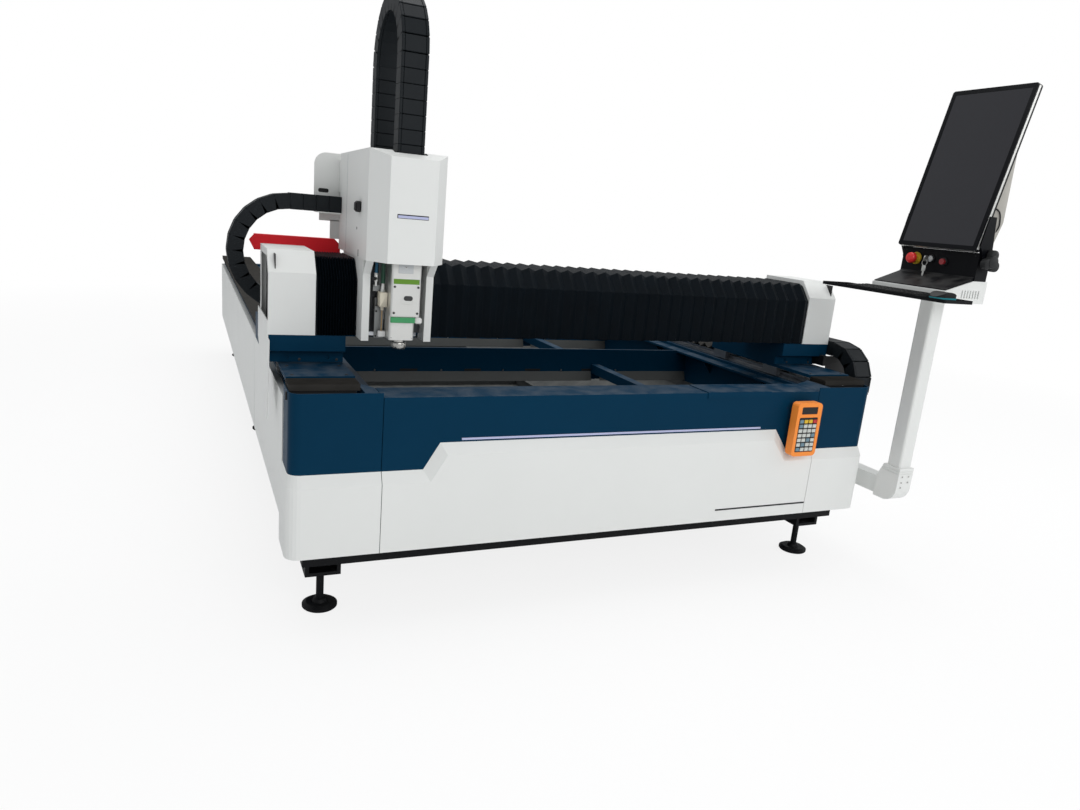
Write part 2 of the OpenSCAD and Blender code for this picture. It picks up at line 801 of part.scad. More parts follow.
// Hinge bracket for the console arm, with its pin
module arm_bracket() {
  g = 0.5;
  color(navy) {
    box(bx, bx + 12, hinge_y - 80, hinge_y + 80, arm_z - 30, arm_z + arm_h + 30);
    for (z = [arm_z - g - 18, arm_z + arm_h + g]) {
      along_z(z, z + 18) {
        translate([bx + 12, hinge_y - 36]) square([post_x - bx - 12, 72]);
        translate([post_x, hinge_y]) circle(36);
      }
    }
    rod_z(post_x, hinge_y, arm_z - 20, arm_z + arm_h + 20, hinge_d);
  }
}

// Hollow beam with a shelf for its cable chain
module gantry_beam() {
  c = beam_t;
  color(navy) {
    difference() {
      box(-beam_x, beam_x, beam_y, beam_back, saddle_top, beam_top);
      box(-beam_x - 1, beam_x + 1, beam_y + c, beam_back - c, saddle_top + c, beam_top - c);
    }
    box(-beam_x, 120, beam_back, shelf_back, shelf_z, shelf_top);
    for (x = [-beam_x + 60 : 260 : 100]) {
      along_x(x, x + 6) polygon([[beam_back, shelf_z], [shelf_back, shelf_z], [beam_back, saddle_top]]);
    }
  }
}

// Cast saddles on base plates, with shaft bores and the chain's ear
module saddles() {
  c = saddle_t;
  y2 = saddle_y + 40;
  color(navy) {
    both() difference() {
      union() {
        box(saddle_in, way_edge, plate_y, saddle_back, plate_z, plate_top);
        along_x(saddle_in, cap_out) polygon([[y2, plate_top], [y2, plate_top + saddle_h * 0.35],
          [saddle_y, plate_top + saddle_h * 0.45], [saddle_y, saddle_top], [saddle_back, saddle_top],
          [saddle_back, plate_top]]);
      }
      box(saddle_in + c, cap_out - c, y2 + c, saddle_back - c, plate_top, saddle_top - c);
      rod_z(pin_x, pin_y, plate_z - 1, saddle_top + 1, shaft_d + 2 * shaft_clear);
      for (x = [saddle_in + 50, cap_out - 60]) rod_y(x, y2 - 1, y2 + 4, plate_top + 16, 14);
    }
    box(cap_out, mchain_x + mchain_w, mchain_end, mchain_end + 12, mchain_cz + mchain_r - mchain_t,
      saddle_top);
  }
}

// Outline of an end cap seen from the side, inset by i
module cap2d(i) {
  y0 = saddle_y + i;
  y1 = saddle_y + cap_l - i;
  z1 = cap_top - i;
  k = i * 0.45;
  polygon([[y0, saddle_top - i], [y0, cap_top - cap_fall - k], [saddle_y + cap_run + k, z1], [y1, z1],
    [y1, saddle_top - i]]);
}

// Folded covers over the gantry motors, open towards the outside
module end_caps() {
  color(white) both() difference() {
    along_x(cap_in, cap_out) cap2d(0);
    along_x(cap_in + sheet, cap_out - sheet) cap2d(sheet);
    along_x(cap_out - sheet - 1, cap_out + 1) difference() {
      cap2d(22);
      translate([0, saddle_top - 40]) square([2000, 60]);
    }
  }
}

// Pointed sheet that hangs outside the left saddle
module skirt_plate() {
  y0 = saddle_y - 45;
  z1 = saddle_top + 43;
  color(white) along_x(-cap_out - sheet, -cap_out) {
    polygon([[y0, saddle_top - 10], [y0 + 20, saddle_top - 150], [y0 + 60, base_top + 341],
      [y0 + 130, base_top + 400], [y0 + 383, saddle_top - 60], [y0 + 383, z1], [saddle_y, z1],
      [saddle_y, saddle_top - 10]]);
  }
}

// Block that runs on a rail: outline across the rail, rail standing on the x axis
module block2d() {
  w = block_w / 2;
  g = rail_w / 2 + rail_clear;
  difference() {
    translate([-w, block_gap]) square([block_w, rail_h + block_over - block_gap]);
    translate([-g, 0]) square([2 * g, rail_h + rail_clear]);
  }
}

// Sliding blocks under the saddles
module saddle_blocks() {
  color(steel) both() for (y = [saddle_y + 20, saddle_back - 20 - block_l]) {
    translate([rail_x, 0, seat_z]) along_y(y, y + block_l) block2d();
  }
}

// Upright drive motor with gearbox, standing on z0 at the origin
module motor(z0, w, h) {
  translate([0, 0, z0]) difference() {
    union() {
      linear_extrude(12) rrect(-w / 2, w / 2, -w / 2, w / 2, 6);
      cylinder(h = h * 0.45, d = w * 0.92);
      translate([0, 0, h * 0.45]) linear_extrude(h * 0.45) rrect(-w * 0.4, w * 0.4, -w * 0.4, w * 0.4, 8);
      translate([0, 0, h * 0.9]) linear_extrude(h * 0.1) rrect(-w * 0.34, w * 0.34, -w * 0.34, w * 0.34, 8);
    }
    translate([0, 0, -1]) cylinder(h = 31, d = shaft_d + 2 * shaft_clear);
  }
}

// Gantry drive motors under the end caps
module gantry_motors() {
  color(black) both() translate([pin_x, pin_y, 0]) motor(saddle_top, 100, 200);
}

// Two rails along the beam's front
module beam_rails() {
  color(steel) for (z = brail_z) {
    translate([0, beam_y, z]) rotate([90, 0, 90]) translate([0, 0, -beam_x + 10])
      linear_extrude(2 * beam_x - 20) rotate(90) rail2d(0, 0);
  }
}

// Rack on top of the beam
module beam_rack() {
  n = ceil((car_travel + 130) / gear_p / 2) * 2;
  color(steel) translate([car_mid - 4 * gear_p, brack_y, 0]) along_z(beam_top, beam_top + rack_h) rack2d(n);
}

// One ring of the bellows at x, set in by depth d, going from its front bottom edge to its rear edge
function bel_ring(x, d) = let (
    y0 = bel_y + d, a = atan2(bel_top - bel_cut, cap_run),
    zb = bel_cut - d * (1 - sin(a)) / cos(a), yc = bel_y + cap_run + d * (1 - cos(a)) / sin(a))
  [[x, y0, saddle_top + 2], [x, y0, zb], [x, yc, bel_top - d], [x, beam_back, bel_top - d]];

// Space inside a pleated outline that lies off mm under the pleats, over length l with n pleats
module pleated(l, n, off, more) {
  m = 2 * n;
  a = atan2(bel_top - bel_cut, cap_run);
  dip = [for (i = [0 : m]) [far + l * (i / m), (i % 2 == 0 ? pleat_d : 0) + off]];
  z0 = saddle_top + 2 - more;
  y1 = beam_back + more;
  intersection() {
    along_z(z0, bel_top + 5)
      polygon(concat([for (p = dip) [p[0], bel_y + p[1]]], [[far + l, y1], [far, y1]]));
    translate([0, bel_y - 5, 0]) rotate([90, 0, 0]) translate([0, 0, bel_y - 5 - y1])
      linear_extrude(y1 - bel_y + 5)
      polygon(concat([for (p = dip) [p[0], bel_top - p[1]]], [[far + l, z0], [far, z0]]));
    translate([0, bel_y, bel_cut]) rotate([90 + a, 0, 0]) translate([0, 0, -900]) linear_extrude(1800)
      polygon(concat([for (p = dip) [p[0], -p[1]]], [[far + l, -900], [far, -900]]));
  }
}

// Pleated bellows from x0 to x1 with n pleats
module bellows(x0, x1, n) {
  translate([x0 - far, 0, 0]) difference() {
    pleated(x1 - x0, n, 0, 0);
    pleated(x1 - x0, n, pleat_t, 1);
  }
}

// Packed bellows between the left end cap and the carriage
module bellows_left() {
  color(black) bellows(-cap_in, car_x, pleat_few);
}

// Stretched bellows between the carriage and the right end cap
module bellows_right() {
  color(black) bellows(car_x2, cap_in, pleat_n);
}

// Linked cable chain behind the beam that feeds the carriage
module beam_chain() {
  color(black) translate([bchain_cx, 0, bchain_cz]) along_y(bchain_y, bchain_y + bchain_w) {
    chain2d(bchain_r, bchain_t, -bchain_cx + 60, car_x - sheet - bchain_cx);
  }
}

// Red folded sheet behind the beam chain
module red_guard() {
  z1 = cap_top + 24;
  color([0.75, 0.03, 0.05]) {
    along_y(shelf_back, shelf_back + sheet) {
      polygon([[-bx - 40, z1 - 53], [-bx - 57, z1 - 20], [-bx - 40, z1], [-bx + 230, z1], [-bx + 250, z1 - 20],
        [-bx + 250, z1 - 53]]);
      translate([-beam_x + 10, shelf_z]) square([60, z1 - 50 - shelf_z]);
      translate([-beam_x + 140, shelf_z]) square([60, z1 - 50 - shelf_z]);
    }
    box(-bx - 40, -bx + 230, shelf_back, shelf_back + 30, z1 - sheet, z1);
  }
}

// Pinion with its shaft, at the origin, teeth from z0 to z1 and shaft up to z2
module pinion(z0, z1, z2) {
  along_z(z0, z1) pinion2d();
  rod_z(0, 0, z1 - 1, z2, shaft_d);
}

// Left gantry pinion
module pinion_left() {
  color(steel) translate([-pin_x, pin_y, 0]) pinion(seat_z + 2, rail_top, saddle_top + 28);
}

// Right gantry pinion
module pinion_right() {
  color(steel) translate([pin_x, pin_y, 0]) mirror([1, 0, 0]) pinion(seat_z + 2, rail_top, saddle_top + 28);
}

// Carriage pinion
module carriage_pinion() {
  color(steel) translate([car_mid, cpin_y, 0]) rotate(-90) {
    pinion(beam_top + 1, beam_top + rack_h, top_z + top_t + 28);
  }
}

// Slide plate in front of the beam and motor plate above it
module carriage_plate() {
  x0 = car_x + leg_w;
  x1 = car_x2 - leg_w;
  z0 = saddle_top + 20;
  z1 = top_z + top_t;
  zc = zchain_cy + zchain_r;
  color(steel) difference() {
    union() {
      box(x0, x1, cplate_y, block_y, z0, z1);
      box(car_x + sheet, car_x2 - sheet, block_y - 1, hood_back - 20, top_z, z1);
      box(zchain_x - 45, zchain_x + 45, zc, zc + 6, z1 - 1, z1 + 260);
      box(car_mid - 20, car_mid + 20, screw_y - 13, cplate_y + 1, z0, z0 + 20);
    }
    rod_z(car_mid, cpin_y, top_z - 1, z1 + 1, shaft_d + 2 * shaft_clear);
    rod_z(car_mid, screw_y, z0 - 1, z0 + 21, screw_d + 2 * shaft_clear);
  }
}

// Sliding blocks on the beam's rails
module carriage_blocks() {
  l = (car_w - 2 * leg_w) / 2 - 8;
  color(steel) for (z = brail_z, x = [car_x + leg_w + 2, car_x2 - leg_w - 2 - l]) {
    translate([x, beam_y, z]) rotate([90, 0, 90]) linear_extrude(l) rotate(90) block2d();
  }
}

// Side sheet outline: leg, flange round the beam and upright wall
module side2d() {
  r = bel_ring(0, pleat_d + 4);
  z1 = hood_top - hood_fall - sheet - 2;
  polygon([[leg_y, saddle_top], [r[0][1], saddle_top], [r[1][1], r[1][2]], [r[2][1], r[2][2]],
    [r[3][1], r[3][2]], [beam_back, hood_z], [hood_back - sheet, hood_z], [hood_back - sheet, z1],
    [leg_y - 46, z1], [leg_y - 46, hood_z], [leg_y, hood_z]]);
}

// Left and right carriage sides with folded legs
module carriage_sides() {
  color(white) translate([car_mid, 0, 0]) both() {
    h = car_w / 2;
    along_x(h - sheet, h) side2d();
    difference() {
      along_x(h - leg_w, h) polygon([[leg_y, saddle_top], [leg_y + leg_d, saddle_top],
        [leg_y + leg_d, hood_z - 47], [leg_y + leg_d + 12, hood_z], [leg_y, hood_z]]);
      box(h - leg_w + sheet, h - sheet, leg_y + sheet, leg_y + leg_d + 20, saddle_top + sheet, hood_z + 1);
    }
  }
}

// Hood over the carriage with a chamfered nose and a slot for the head's chain
module carriage_cover() {
  color(white) difference() {
    hood_form(0);
    hood_form(sheet);
    box(zchain_x - zchain_w / 2 - 10, zchain_x + zchain_w / 2 + 10, head_y - 8, zchain_cy + zchain_r + 14,
      hood_z + 200, hood_top + 1);
    box(car_x + 40, car_x2 - 40, hood_back - 10, hood_back + 1, hood_z - 1, hood_z + 60);
  }
}

// Hood as one closed form, inset by i
module hood_form(i) {
  x0 = car_x - sheet + i;
  x1 = car_x2 + hood_over - i;
  y0 = hood_y + i;
  y1 = hood_back - i;
  k = i * 0.5;
  z0 = hood_z - i;
  intersection() {
    along_z(z0, hood_top) polygon([[x0, y0 + nose_cut - k], [x0 + nose_run - k, y0], [x1 - nose_run + k, y0],
      [x1, y0 + nose_cut - k], [x1, y1], [x0, y1]]);
    along_x(x0 - 1, x1 + 1) polygon([[y0 - 1, z0 - 1], [y0 - 1, hood_top - hood_fall - i], [y1 + 1, hood_top - i],
      [y1 + 1, z0 - 1]]);
  }
}

// Plate and tongue that hold the beam chain's moving end
module chain_bracket() {
  y0 = bchain_y + bchain_w + 4;
  z0 = bchain_cz + bchain_r - bchain_t;
  z1 = hood_top + 10;
  x0 = car_x - 84;
  x1 = car_x + 60;
  color(white) {
    difference() {
      along_y(y0, y0 + 6) {
        translate([x0, z0 - sheet]) square([x1 - x0, z1 - 40 - z0 + sheet]);
        translate([x0 + 40, z1 - 41]) square([x1 - x0 - 40, 41]);
        translate([x0 + 40, z1 - 40]) circle(40);
      }
      along_y(y0 - 1, y0 + 7) rrect(x0 + 14, x0 + 50, z0 + 64, z0 + 78, 6);
    }
    box(car_x, x1, hood_back, y0 + 1, z0 + 70, z1 - 20);
    box(x0, car_x - sheet, bchain_y, y0 + 1, z0 - sheet, z0);
  }
}

// Drive motors for the carriage and for the head's screw
module carriage_motors() {
  color(black) {
    translate([car_mid, cpin_y, 0]) motor(top_z + top_t, 90, 150);
    translate([car_mid, screw_y, 0]) motor(top_z + top_t, 70, 150);
  }
}

// Two small rails that guide the head
module z_rails() {
  color(steel) for (s = [-1, 1]) {
    x = car_mid + s * zrail_x;
    box(x - zrail_w / 2, x + zrail_w / 2, cplate_y - zrail_h, cplate_y, saddle_top + 45, top_z - 10);
  }
}

// Linked cable chain that arches over to the head
module z_chain() {
  x0 = zchain_x - zchain_w / 2;
  color(black) translate([0, zchain_cy, zchain_z]) along_x(x0, x0 + zchain_w) rotate(-90) {
    chain2d(zchain_r, zchain_t, zchain_z - head_top, zchain_z - top_z - top_t - 160);
  }
}

// Slide plate of the head with its blocks and nut
module head_plate() {
  g = zrail_w / 2 + 0.3;
  color(steel) {
    box(car_mid - 60, car_mid + 55, hplate_y, head_back, head_z - 20, head_top);
    for (s = [-1, 1], z = [head_z + 5, head_top - 45]) {
      translate([car_mid + s * zrail_x, 0, z]) linear_extrude(40) difference() {
        translate([-17, head_back - 1]) square([34, 23]);
        translate([-g, cplate_y - zrail_h - 0.5]) square([2 * g, 30]);
      }
    }
    difference() {
      box(car_mid - 16, car_mid + 16, head_back - 1, cplate_y - 2, head_z + 85, head_z + 115);
      rod_z(car_mid, screw_y, head_z + 80, head_z + 120, screw_d + 2 * shaft_clear);
    }
  }
}

// Upper body of the cutting head with its cover, window and screws
module head_body() {
  x0 = head_x - head_w / 2;
  x1 = head_x + head_w / 2;
  color([0.8, 0.8, 0.8]) difference() {
    union() {
      along_z(head_z, head_top) rrect(x0, x1, head_y, hplate_y, 6);
      for (x = [x0 + 10, x1 - 10], z = [head_z + 12, head_z + 92]) rod_y(x, head_y - 2, head_y + 1, z, 8);
    }
    along_y(head_y - 1, head_y + 3) rrect(head_x - 18, head_x + 22, head_z + 40, head_z + 58, 8.9);
    box(x0 + 6, x1 - 6, head_y - 1, head_y + 1, head_z + 100, head_z + 116);
  }
}

// Lower body of the head with the drawer's slot
module head_lower() {
  x0 = head_x - head_w / 2 - 1;
  x1 = x0 + 80;
  color([0.85, 0.85, 0.85]) difference() {
    along_z(hlow_z, head_z) rrect(x0, x1, head_y + 8, hplate_y - 6, 8);
    box(x0 + 4, x1 - 4, head_y, hplate_y - 20, drawer_z, head_z - 1);
  }
}

// Lens drawer that pulls out of the head's front
module lens_drawer() {
  x0 = head_x - head_w / 2 + 3;
  x1 = x0 + 72;
  g = 0.3;
  color([0.1, 0.6, 0.25]) difference() {
    union() {
      box(x0 + g, x1 - g, head_y + 4, hplate_y - 20 - g, drawer_z + g, head_z - 1 - g);
      box(x0 + g, x1 - g, head_y - 6, head_y + 5, drawer_z + g, head_z - 2);
      rod_x(x1 - 1, x1 + 12, head_y - 1, drawer_z + 5, 8);
    }
    rod_z((x0 + x1) / 2, head_y + 40, drawer_z - 1, head_z, 30);
  }
}

// Turned copper nozzle
module nozzle() {
  color([0.72, 0.45, 0.25]) translate([head_x - head_w / 2 + 39, (head_y + hplate_y) / 2, 0]) rotate_extrude() {
    polygon([[1.5, hlow_z], [22, hlow_z], [22, hlow_z - 10], [16, hlow_z - 12], [16, hlow_z - 18],
      [11, hlow_z - 20], [4, saddle_top - 16], [1.5, saddle_top - 16]]);
  }
}

// Height sensor amplifier beside the head
module sensor_box() {
  x0 = car_mid - 70;
  color([0.85, 0.78, 0.62]) {
    box(x0, x0 + 22, hplate_y - 40, hplate_y, head_z + 30, head_z + 75);
    rod_z(x0 + 11, hplate_y - 20, head_z + 18, head_z + 31, 10);
  }
}

// Screw that lifts the head, with its drive journal
module z_screw() {
  z1 = top_z + top_t;
  color(steel) {
    rod_z(car_mid, screw_y, saddle_top + 18, z1 + 2, screw_d);
    rod_z(car_mid, screw_y, z1 + 1, z1 + 28, shaft_d);
  }
}

// Square tube that swings on the bed's hinge bracket
module swing_arm() {
  w = arm_w / 2;
  z1 = arm_z + arm_h;
  color(white) difference() {
    union() {
      box(post_x - w, post_x + w, elbow_back, hinge_y, arm_z, z1);
      rod_z(post_x, hinge_y, arm_z, z1, arm_w + 10);
    }
    box(post_x - w + 4, post_x + w - 4, elbow_back - 1, hinge_y - w - 6, arm_z + 4, z1 - 4);
    rod_z(post_x, hinge_y, arm_z - 1, z1 + 1, hinge_d + 2 * shaft_clear);
  }
}

// Cast elbow between the arm and the post
module arm_elbow() {
  x0 = post_x - arm_w / 2 - 8;
  x1 = post_x + arm_w / 2 + 8;
  zc = elbow_z + elbow_r;
  color(white) difference() {
    union() {
      along_x(x0, x1) {
        difference() {
          polygon([[elbow_y, elbow_z], [elbow_y, post_z], [elbow_y + 80, post_z],
            [elbow_back, elbow_z + arm_h + 16], [elbow_back, elbow_z]]);
          difference() {
            translate([elbow_y - 1, elbow_z - 1]) square(elbow_r + 1);
            translate([elbow_y + elbow_r, zc]) circle(elbow_r);
          }
        }
      }
    }
    for (z = [post_z - 14, post_z - 24]) box(x0 - 1, x0 + 2, elbow_y - 1, elbow_back + 1, z, z + 3);
    for (z = [post_z - 14, post_z - 24]) box(x0 - 1, x1 + 1, elbow_y - 1, elbow_y + 2, z, z + 3);
  }
}

// Square post with its collar and spigot
module post() {
  w = post_w / 2;
  color(white) {
    translate([post_x, -post_y, 0]) {
      difference() {
        along_z(post_z, post_top) rrect(-w, w, -w, w, 9);
        along_z(post_z - 1, post_top - 8) rrect(-w + 4, w - 4, -w + 4, w - 4, 5);
      }
      rod_z(0, 0, post_top - 1, desk_z - 0.5, post_w + 26);
      rod_z(0, 0, post_top, desk_z + 32, 40);
    }
  }
}

// Console base with a sloped front, vents and a socket for the post
module console_base() {
  x1 = desk_x + desk_d;
  t = 4;
  color(white) {
    difference() {
      along_y(desk_y0, desk_y1) polygon([[desk_x, desk_z], [desk_x, desk_top - 40], [cbox_x, desk_top],
        [x1, desk_top], [x1, desk_z]]);
      along_y(desk_y0 + t, desk_y1 - t) polygon([[desk_x + t, desk_z - 1], [desk_x + t, desk_top - 40 - t],
        [cbox_x, desk_top - t], [x1 - t, desk_top - t], [x1 - t, desk_z - 1]]);
      for (i = [0 : 6]) {
        box(post_x - 66 + i * 14, post_x - 60 + i * 14, desk_y0 - 1, desk_y0 + t + 1, desk_z + 18, desk_z + 46);
      }
    }
    difference() {
      union() {
        rod_z(post_x, -post_y, desk_z, desk_top - 4 * t, 70);
        box(post_x - 4, post_x + 4, desk_y0 + 1, -post_y - 30, desk_z + 20, desk_top - t);
        box(post_x - 4, post_x + 4, -post_y + 30, desk_y1 - 1, desk_z + 20, desk_top - t);
      }
      rod_z(post_x, -post_y, desk_z - 1, desk_z + 34, 40 + 2 * shaft_clear);
    }
  }
}

// Folded keyboard tray in front of the base
module keyboard_tray() {
  y0 = -post_y - tray_w / 2;
  y1 = -post_y + tray_w / 2;
  x0 = desk_x - tray_d;
  color(black) {
    difference() {
      along_z(tray_z, tray_z + 12) rrect(x0, desk_x, y0, y1, 10);
      along_z(tray_z + sheet, tray_z + 13) rrect(x0 + sheet, desk_x - sheet, y0 + sheet, y1 - sheet, 8);
    }
  }
}

// Control box with its sloped apron, button holes and tilt pins
module control_box() {
  x1 = cbox_x + cbox_d;
  t = sheet;
  d = 22 + 2 * shaft_clear;
  y = -post_y;
  color(black) {
    difference() {
      box(cbox_x, x1, desk_y0, desk_y1, desk_top, cbox_top);
      box(cbox_x + t, x1 - t, desk_y0 + t, desk_y1 - t, desk_top - 1, cbox_top - t);
      rod_x(cbox_x - 1, cbox_x + t + 1, y + 100, desk_top + 60, d);
      rod_x(cbox_x - 1, cbox_x + t + 1, y + 31, desk_top + 63, d);
      rod_x(cbox_x - 1, cbox_x + t + 1, y - 25, desk_top + 57, d);
    }
    along_y(desk_y0 + 4, desk_y1 - 4) polygon([[cbox_x, desk_top + 0.2], [cbox_x, desk_top + 14],
      [cbox_x - 12, desk_top + 6], [desk_x + 4, desk_top - 35], [desk_x + 4, desk_top - 38.5]]);
    rod_y(tilt_x, desk_y0 - 32, desk_y0 + 1, tilt_z, 16);
    rod_y(tilt_x, desk_y1 - 1, desk_y1 + 12, tilt_z, 16);
  }
}

// Keyboard with rows of keys, and a mouse beside it
module keyboard() {
  x0 = desk_x - tray_d + 18;
  y0 = -post_y - 150;
  z0 = tray_z + sheet;
  p = 17.6;
  color(black) {
    along_y(y0, y0 + 330) polygon([[x0, z0], [x0, z0 + 7], [x0 + 112, z0 + 14], [x0 + 112, z0]]);
    for (i = [0 : 5], j = [0 : 17]) {
      box(x0 + 4 + i * p, x0 + 18 + i * p, y0 + 7 + j * p, y0 + 21 + j * p, z0 + 5, z0 + 11 + i * 1.1);
    }
    translate([x0 + 56, y0 - 64, z0]) intersection() {
      linear_extrude(40) rrect(-48, 48, -28, 28, 27);
      translate([0, 60, -46]) rotate([90, 0, 0]) cylinder(h = 120, r = 76);
    }
  }
}

// Places the leaning monitor: x to its back, y across, z up its face
module mon_place() {
  translate([mon_x, -post_y, mon_z]) rotate([0, mon_lean, 0]) children();
}

// Monitor frame with two arms down to the tilt pins
module monitor_frame() {
  w = mon_w / 2;
  color(black) difference() {
    union() {
      mon_place() difference() {
        along_x(0, mon_t) rrect(-w, w, 0, mon_h, 9);
        along_x(-1, 4) rrect(-w + mon_bezel, w - mon_bezel, mon_bezel, mon_h - mon_bezel, 3);
        along_x(7, mon_t + 1) rrect(-w + 36, w - 36, back_u0 + 6, back_u1 - 6, 4);
      }
      for (y = [desk_y0 - 11.5, desk_y1 + 0.5]) {
        along_y(y, y + 11) {
          translate([tilt_x, tilt_z]) circle(20);
          polygon([[tilt_x - 20, tilt_z], [tilt_x + 20, tilt_z], [mon_x + 66, mon_z + 120],
            [mon_x + 34, mon_z + 120], [mon_x + 14, mon_z + 20]]);
        }
      }
    }
    rod_y(tilt_x, desk_y0 - 20, desk_y1 + 20, tilt_z, 16 + 2 * shaft_clear);
  }
}

// Glass in the monitor's front
module monitor_glass() {
  w = mon_w / 2 - mon_bezel - 0.3;
  color([0.02, 0.02, 0.03]) mon_place() along_x(1, 4) rrect(-w, w, mon_bezel + 0.3, mon_h - mon_bezel - 0.3, 2.7);
}

// Housing on the monitor's back
module monitor_back() {
  color(white) mon_place() difference() {
    along_y(-mon_w / 2 + 30, mon_w / 2 - 30) polygon([[mon_t, back_u0], [mon_t + back_d * 0.7, back_u0 + 40],
      [mon_t + back_d, back_u0 + 120], [mon_t + back_d, back_u1], [mon_t, back_u1]]);
    along_y(-mon_w / 2 + 33, mon_w / 2 - 33) polygon([[mon_t - 1, back_u0 + 3], [mon_t + back_d * 0.7 - 3, back_u0 + 43],
      [mon_t + back_d - 3, back_u0 + 122], [mon_t + back_d - 3, back_u1 - 3], [mon_t - 1, back_u1 - 3]]);
    for (i = [0 : 5]) {
      box(mon_t + 8, mon_t + back_d - 10, -70 + i * 28, -56 + i * 28, back_u1 - 4, back_u1 + 1);
    }
    box(mon_t - 1, mon_t + 2, -mon_w / 2 + 29, mon_w / 2 - 29, back_u0 - 1, back_u0 + 2);
  }
}

// Clamp knob on the tilt pin
module tilt_clamp() {
  y1 = desk_y0 - 12;
  bore = 8 + shaft_clear;
  color(black) translate([tilt_x, y1, tilt_z]) rotate([90, 0, 0]) rotate_extrude() {
    polygon([[bore, 0], [13, 0], [13, 13], [24, 13], [26, 15], [26, 37], [23, 40], [0, 40], [0, 21], [bore, 21]]);
  }
}

// Red emergency stop
module estop_button() {
  y = -post_y + 100;
  z = desk_top + 60;
  color([0.8, 0.03, 0.03]) translate([cbox_x, y, z]) rotate([0, -90, 0]) rotate_extrude() {
    polygon([[0, -20], [11, -20], [11, 20], [20, 22], [20, 34], [17, 38], [10, 40], [0, 40]]);
  }
}

// Key lock with its key
module key_switch() {
  y = -post_y + 31;
  z = desk_top + 63;
  color(steel) {
    rod_x(cbox_x - 8, cbox_x + 20, y, z, 22);
    box(cbox_x - 30, cbox_x - 7, y - 1.5, y + 1.5, z - 9, z + 9);
  }
}

// Red push button
module start_button() {
  y = -post_y - 25;
  z = desk_top + 57;
  color([0.75, 0.05, 0.05]) rod_x(cbox_x - 14, cbox_x + 20, y, z, 22);
}

// Puts the middle of the whole machine's plan over the origin
module at_origin() {
  translate([-(x_lo + x_hi) / 2, -(y_lo + y_hi) / 2, 0]) children();
}

at_origin() base_frame();
at_origin() levelling_feet();
at_origin() bed_frame();
at_origin() front_panels();
at_origin() front_skirts();
at_origin() access_lid();
at_origin() bed_rails();
at_origin() bed_racks();
at_origin() way_covers();
at_origin() trough_frame();
at_origin() scrap_chutes();
at_origin() bed_panels();
at_origin() main_chain();
at_origin() main_chain_tray();
at_origin() pendant();
at_origin() arm_bracket();
at_origin() gantry_beam();
at_origin() saddles();
at_origin() end_caps();
at_origin() skirt_plate();
at_origin() saddle_blocks();
at_origin() gantry_motors();
at_origin() beam_rails();
at_origin() beam_rack();
at_origin() bellows_left();
at_origin() bellows_right();
at_origin() beam_chain();
at_origin() red_guard();
at_origin() pinion_left();
at_origin() pinion_right();
at_origin() carriage_pinion();
at_origin() carriage_plate();
at_origin() carriage_blocks();
at_origin() carriage_cover();
at_origin() carriage_sides();
at_origin() chain_bracket();
at_origin() carriage_motors();
at_origin() z_rails();
at_origin() z_chain();
at_origin() head_plate();
at_origin() head_body();
at_origin() head_lower();
at_origin() lens_drawer();
at_origin() nozzle();
at_origin() sensor_box();
at_origin() z_screw();
at_origin() swing_arm();
at_origin() arm_elbow();
at_origin() post();
at_origin() console_base();
at_origin() keyboard_tray();
at_origin() control_box();
at_origin() keyboard();
at_origin() monitor_frame();
at_origin() monitor_glass();
at_origin() monitor_back();
at_origin() tilt_clamp();
at_origin() estop_button();
at_origin() key_switch();
at_origin() start_button();
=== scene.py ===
# %% [markdown]
# A gantry laser cutter, dressed from its CAD frame. The CAD already holds every sheet, rail, rack and wheel in
# its place. This lesson gives those pieces their finishes, rebuilds the folded bellows and the linked cable
# chains, and adds the small trim that shows how a machine is put together.

# %% load the frame
import json
import math
import bmesh
import bpy
from mathutils import Matrix, Vector


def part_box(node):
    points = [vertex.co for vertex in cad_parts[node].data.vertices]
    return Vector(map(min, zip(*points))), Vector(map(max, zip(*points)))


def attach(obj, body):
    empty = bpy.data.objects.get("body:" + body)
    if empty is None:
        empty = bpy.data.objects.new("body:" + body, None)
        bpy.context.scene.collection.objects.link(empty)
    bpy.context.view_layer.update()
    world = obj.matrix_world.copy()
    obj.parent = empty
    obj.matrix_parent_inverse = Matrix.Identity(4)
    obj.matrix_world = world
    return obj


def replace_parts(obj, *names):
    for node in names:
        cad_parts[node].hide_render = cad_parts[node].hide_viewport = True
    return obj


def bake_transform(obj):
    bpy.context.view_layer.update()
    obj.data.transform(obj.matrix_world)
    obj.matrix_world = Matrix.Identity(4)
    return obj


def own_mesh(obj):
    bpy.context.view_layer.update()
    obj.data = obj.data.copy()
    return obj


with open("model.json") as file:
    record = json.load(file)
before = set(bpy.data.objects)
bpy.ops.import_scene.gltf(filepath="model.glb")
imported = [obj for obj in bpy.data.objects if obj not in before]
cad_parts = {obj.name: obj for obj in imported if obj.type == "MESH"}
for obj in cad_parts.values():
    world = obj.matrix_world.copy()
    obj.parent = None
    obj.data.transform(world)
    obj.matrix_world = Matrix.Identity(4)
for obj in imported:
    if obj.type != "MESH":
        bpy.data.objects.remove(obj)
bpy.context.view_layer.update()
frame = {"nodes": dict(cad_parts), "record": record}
nodes = frame["nodes"]
record = frame["record"]

# %% [markdown]
# The drawing of the machine is in millimetres from the middle of its front edge, with x to the right, y to the
# back and z up. The frame is in metres and is centred on the whole machine, so one small function takes a
# drawing point into the frame. The bed's own box gives the shift between the two.

# %% from drawing points to the frame
bed_lo, bed_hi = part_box("bed_frame")
MID_X = (bed_lo.x + bed_hi.x) / 2
FRONT_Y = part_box("front_panels")[0].y


def at(x, y, z):
    return Vector((MID_X + x / 1000, FRONT_Y + y / 1000, z / 1000))


MM = 0.001
print("front middle at", at(0, 0, 0)[:])

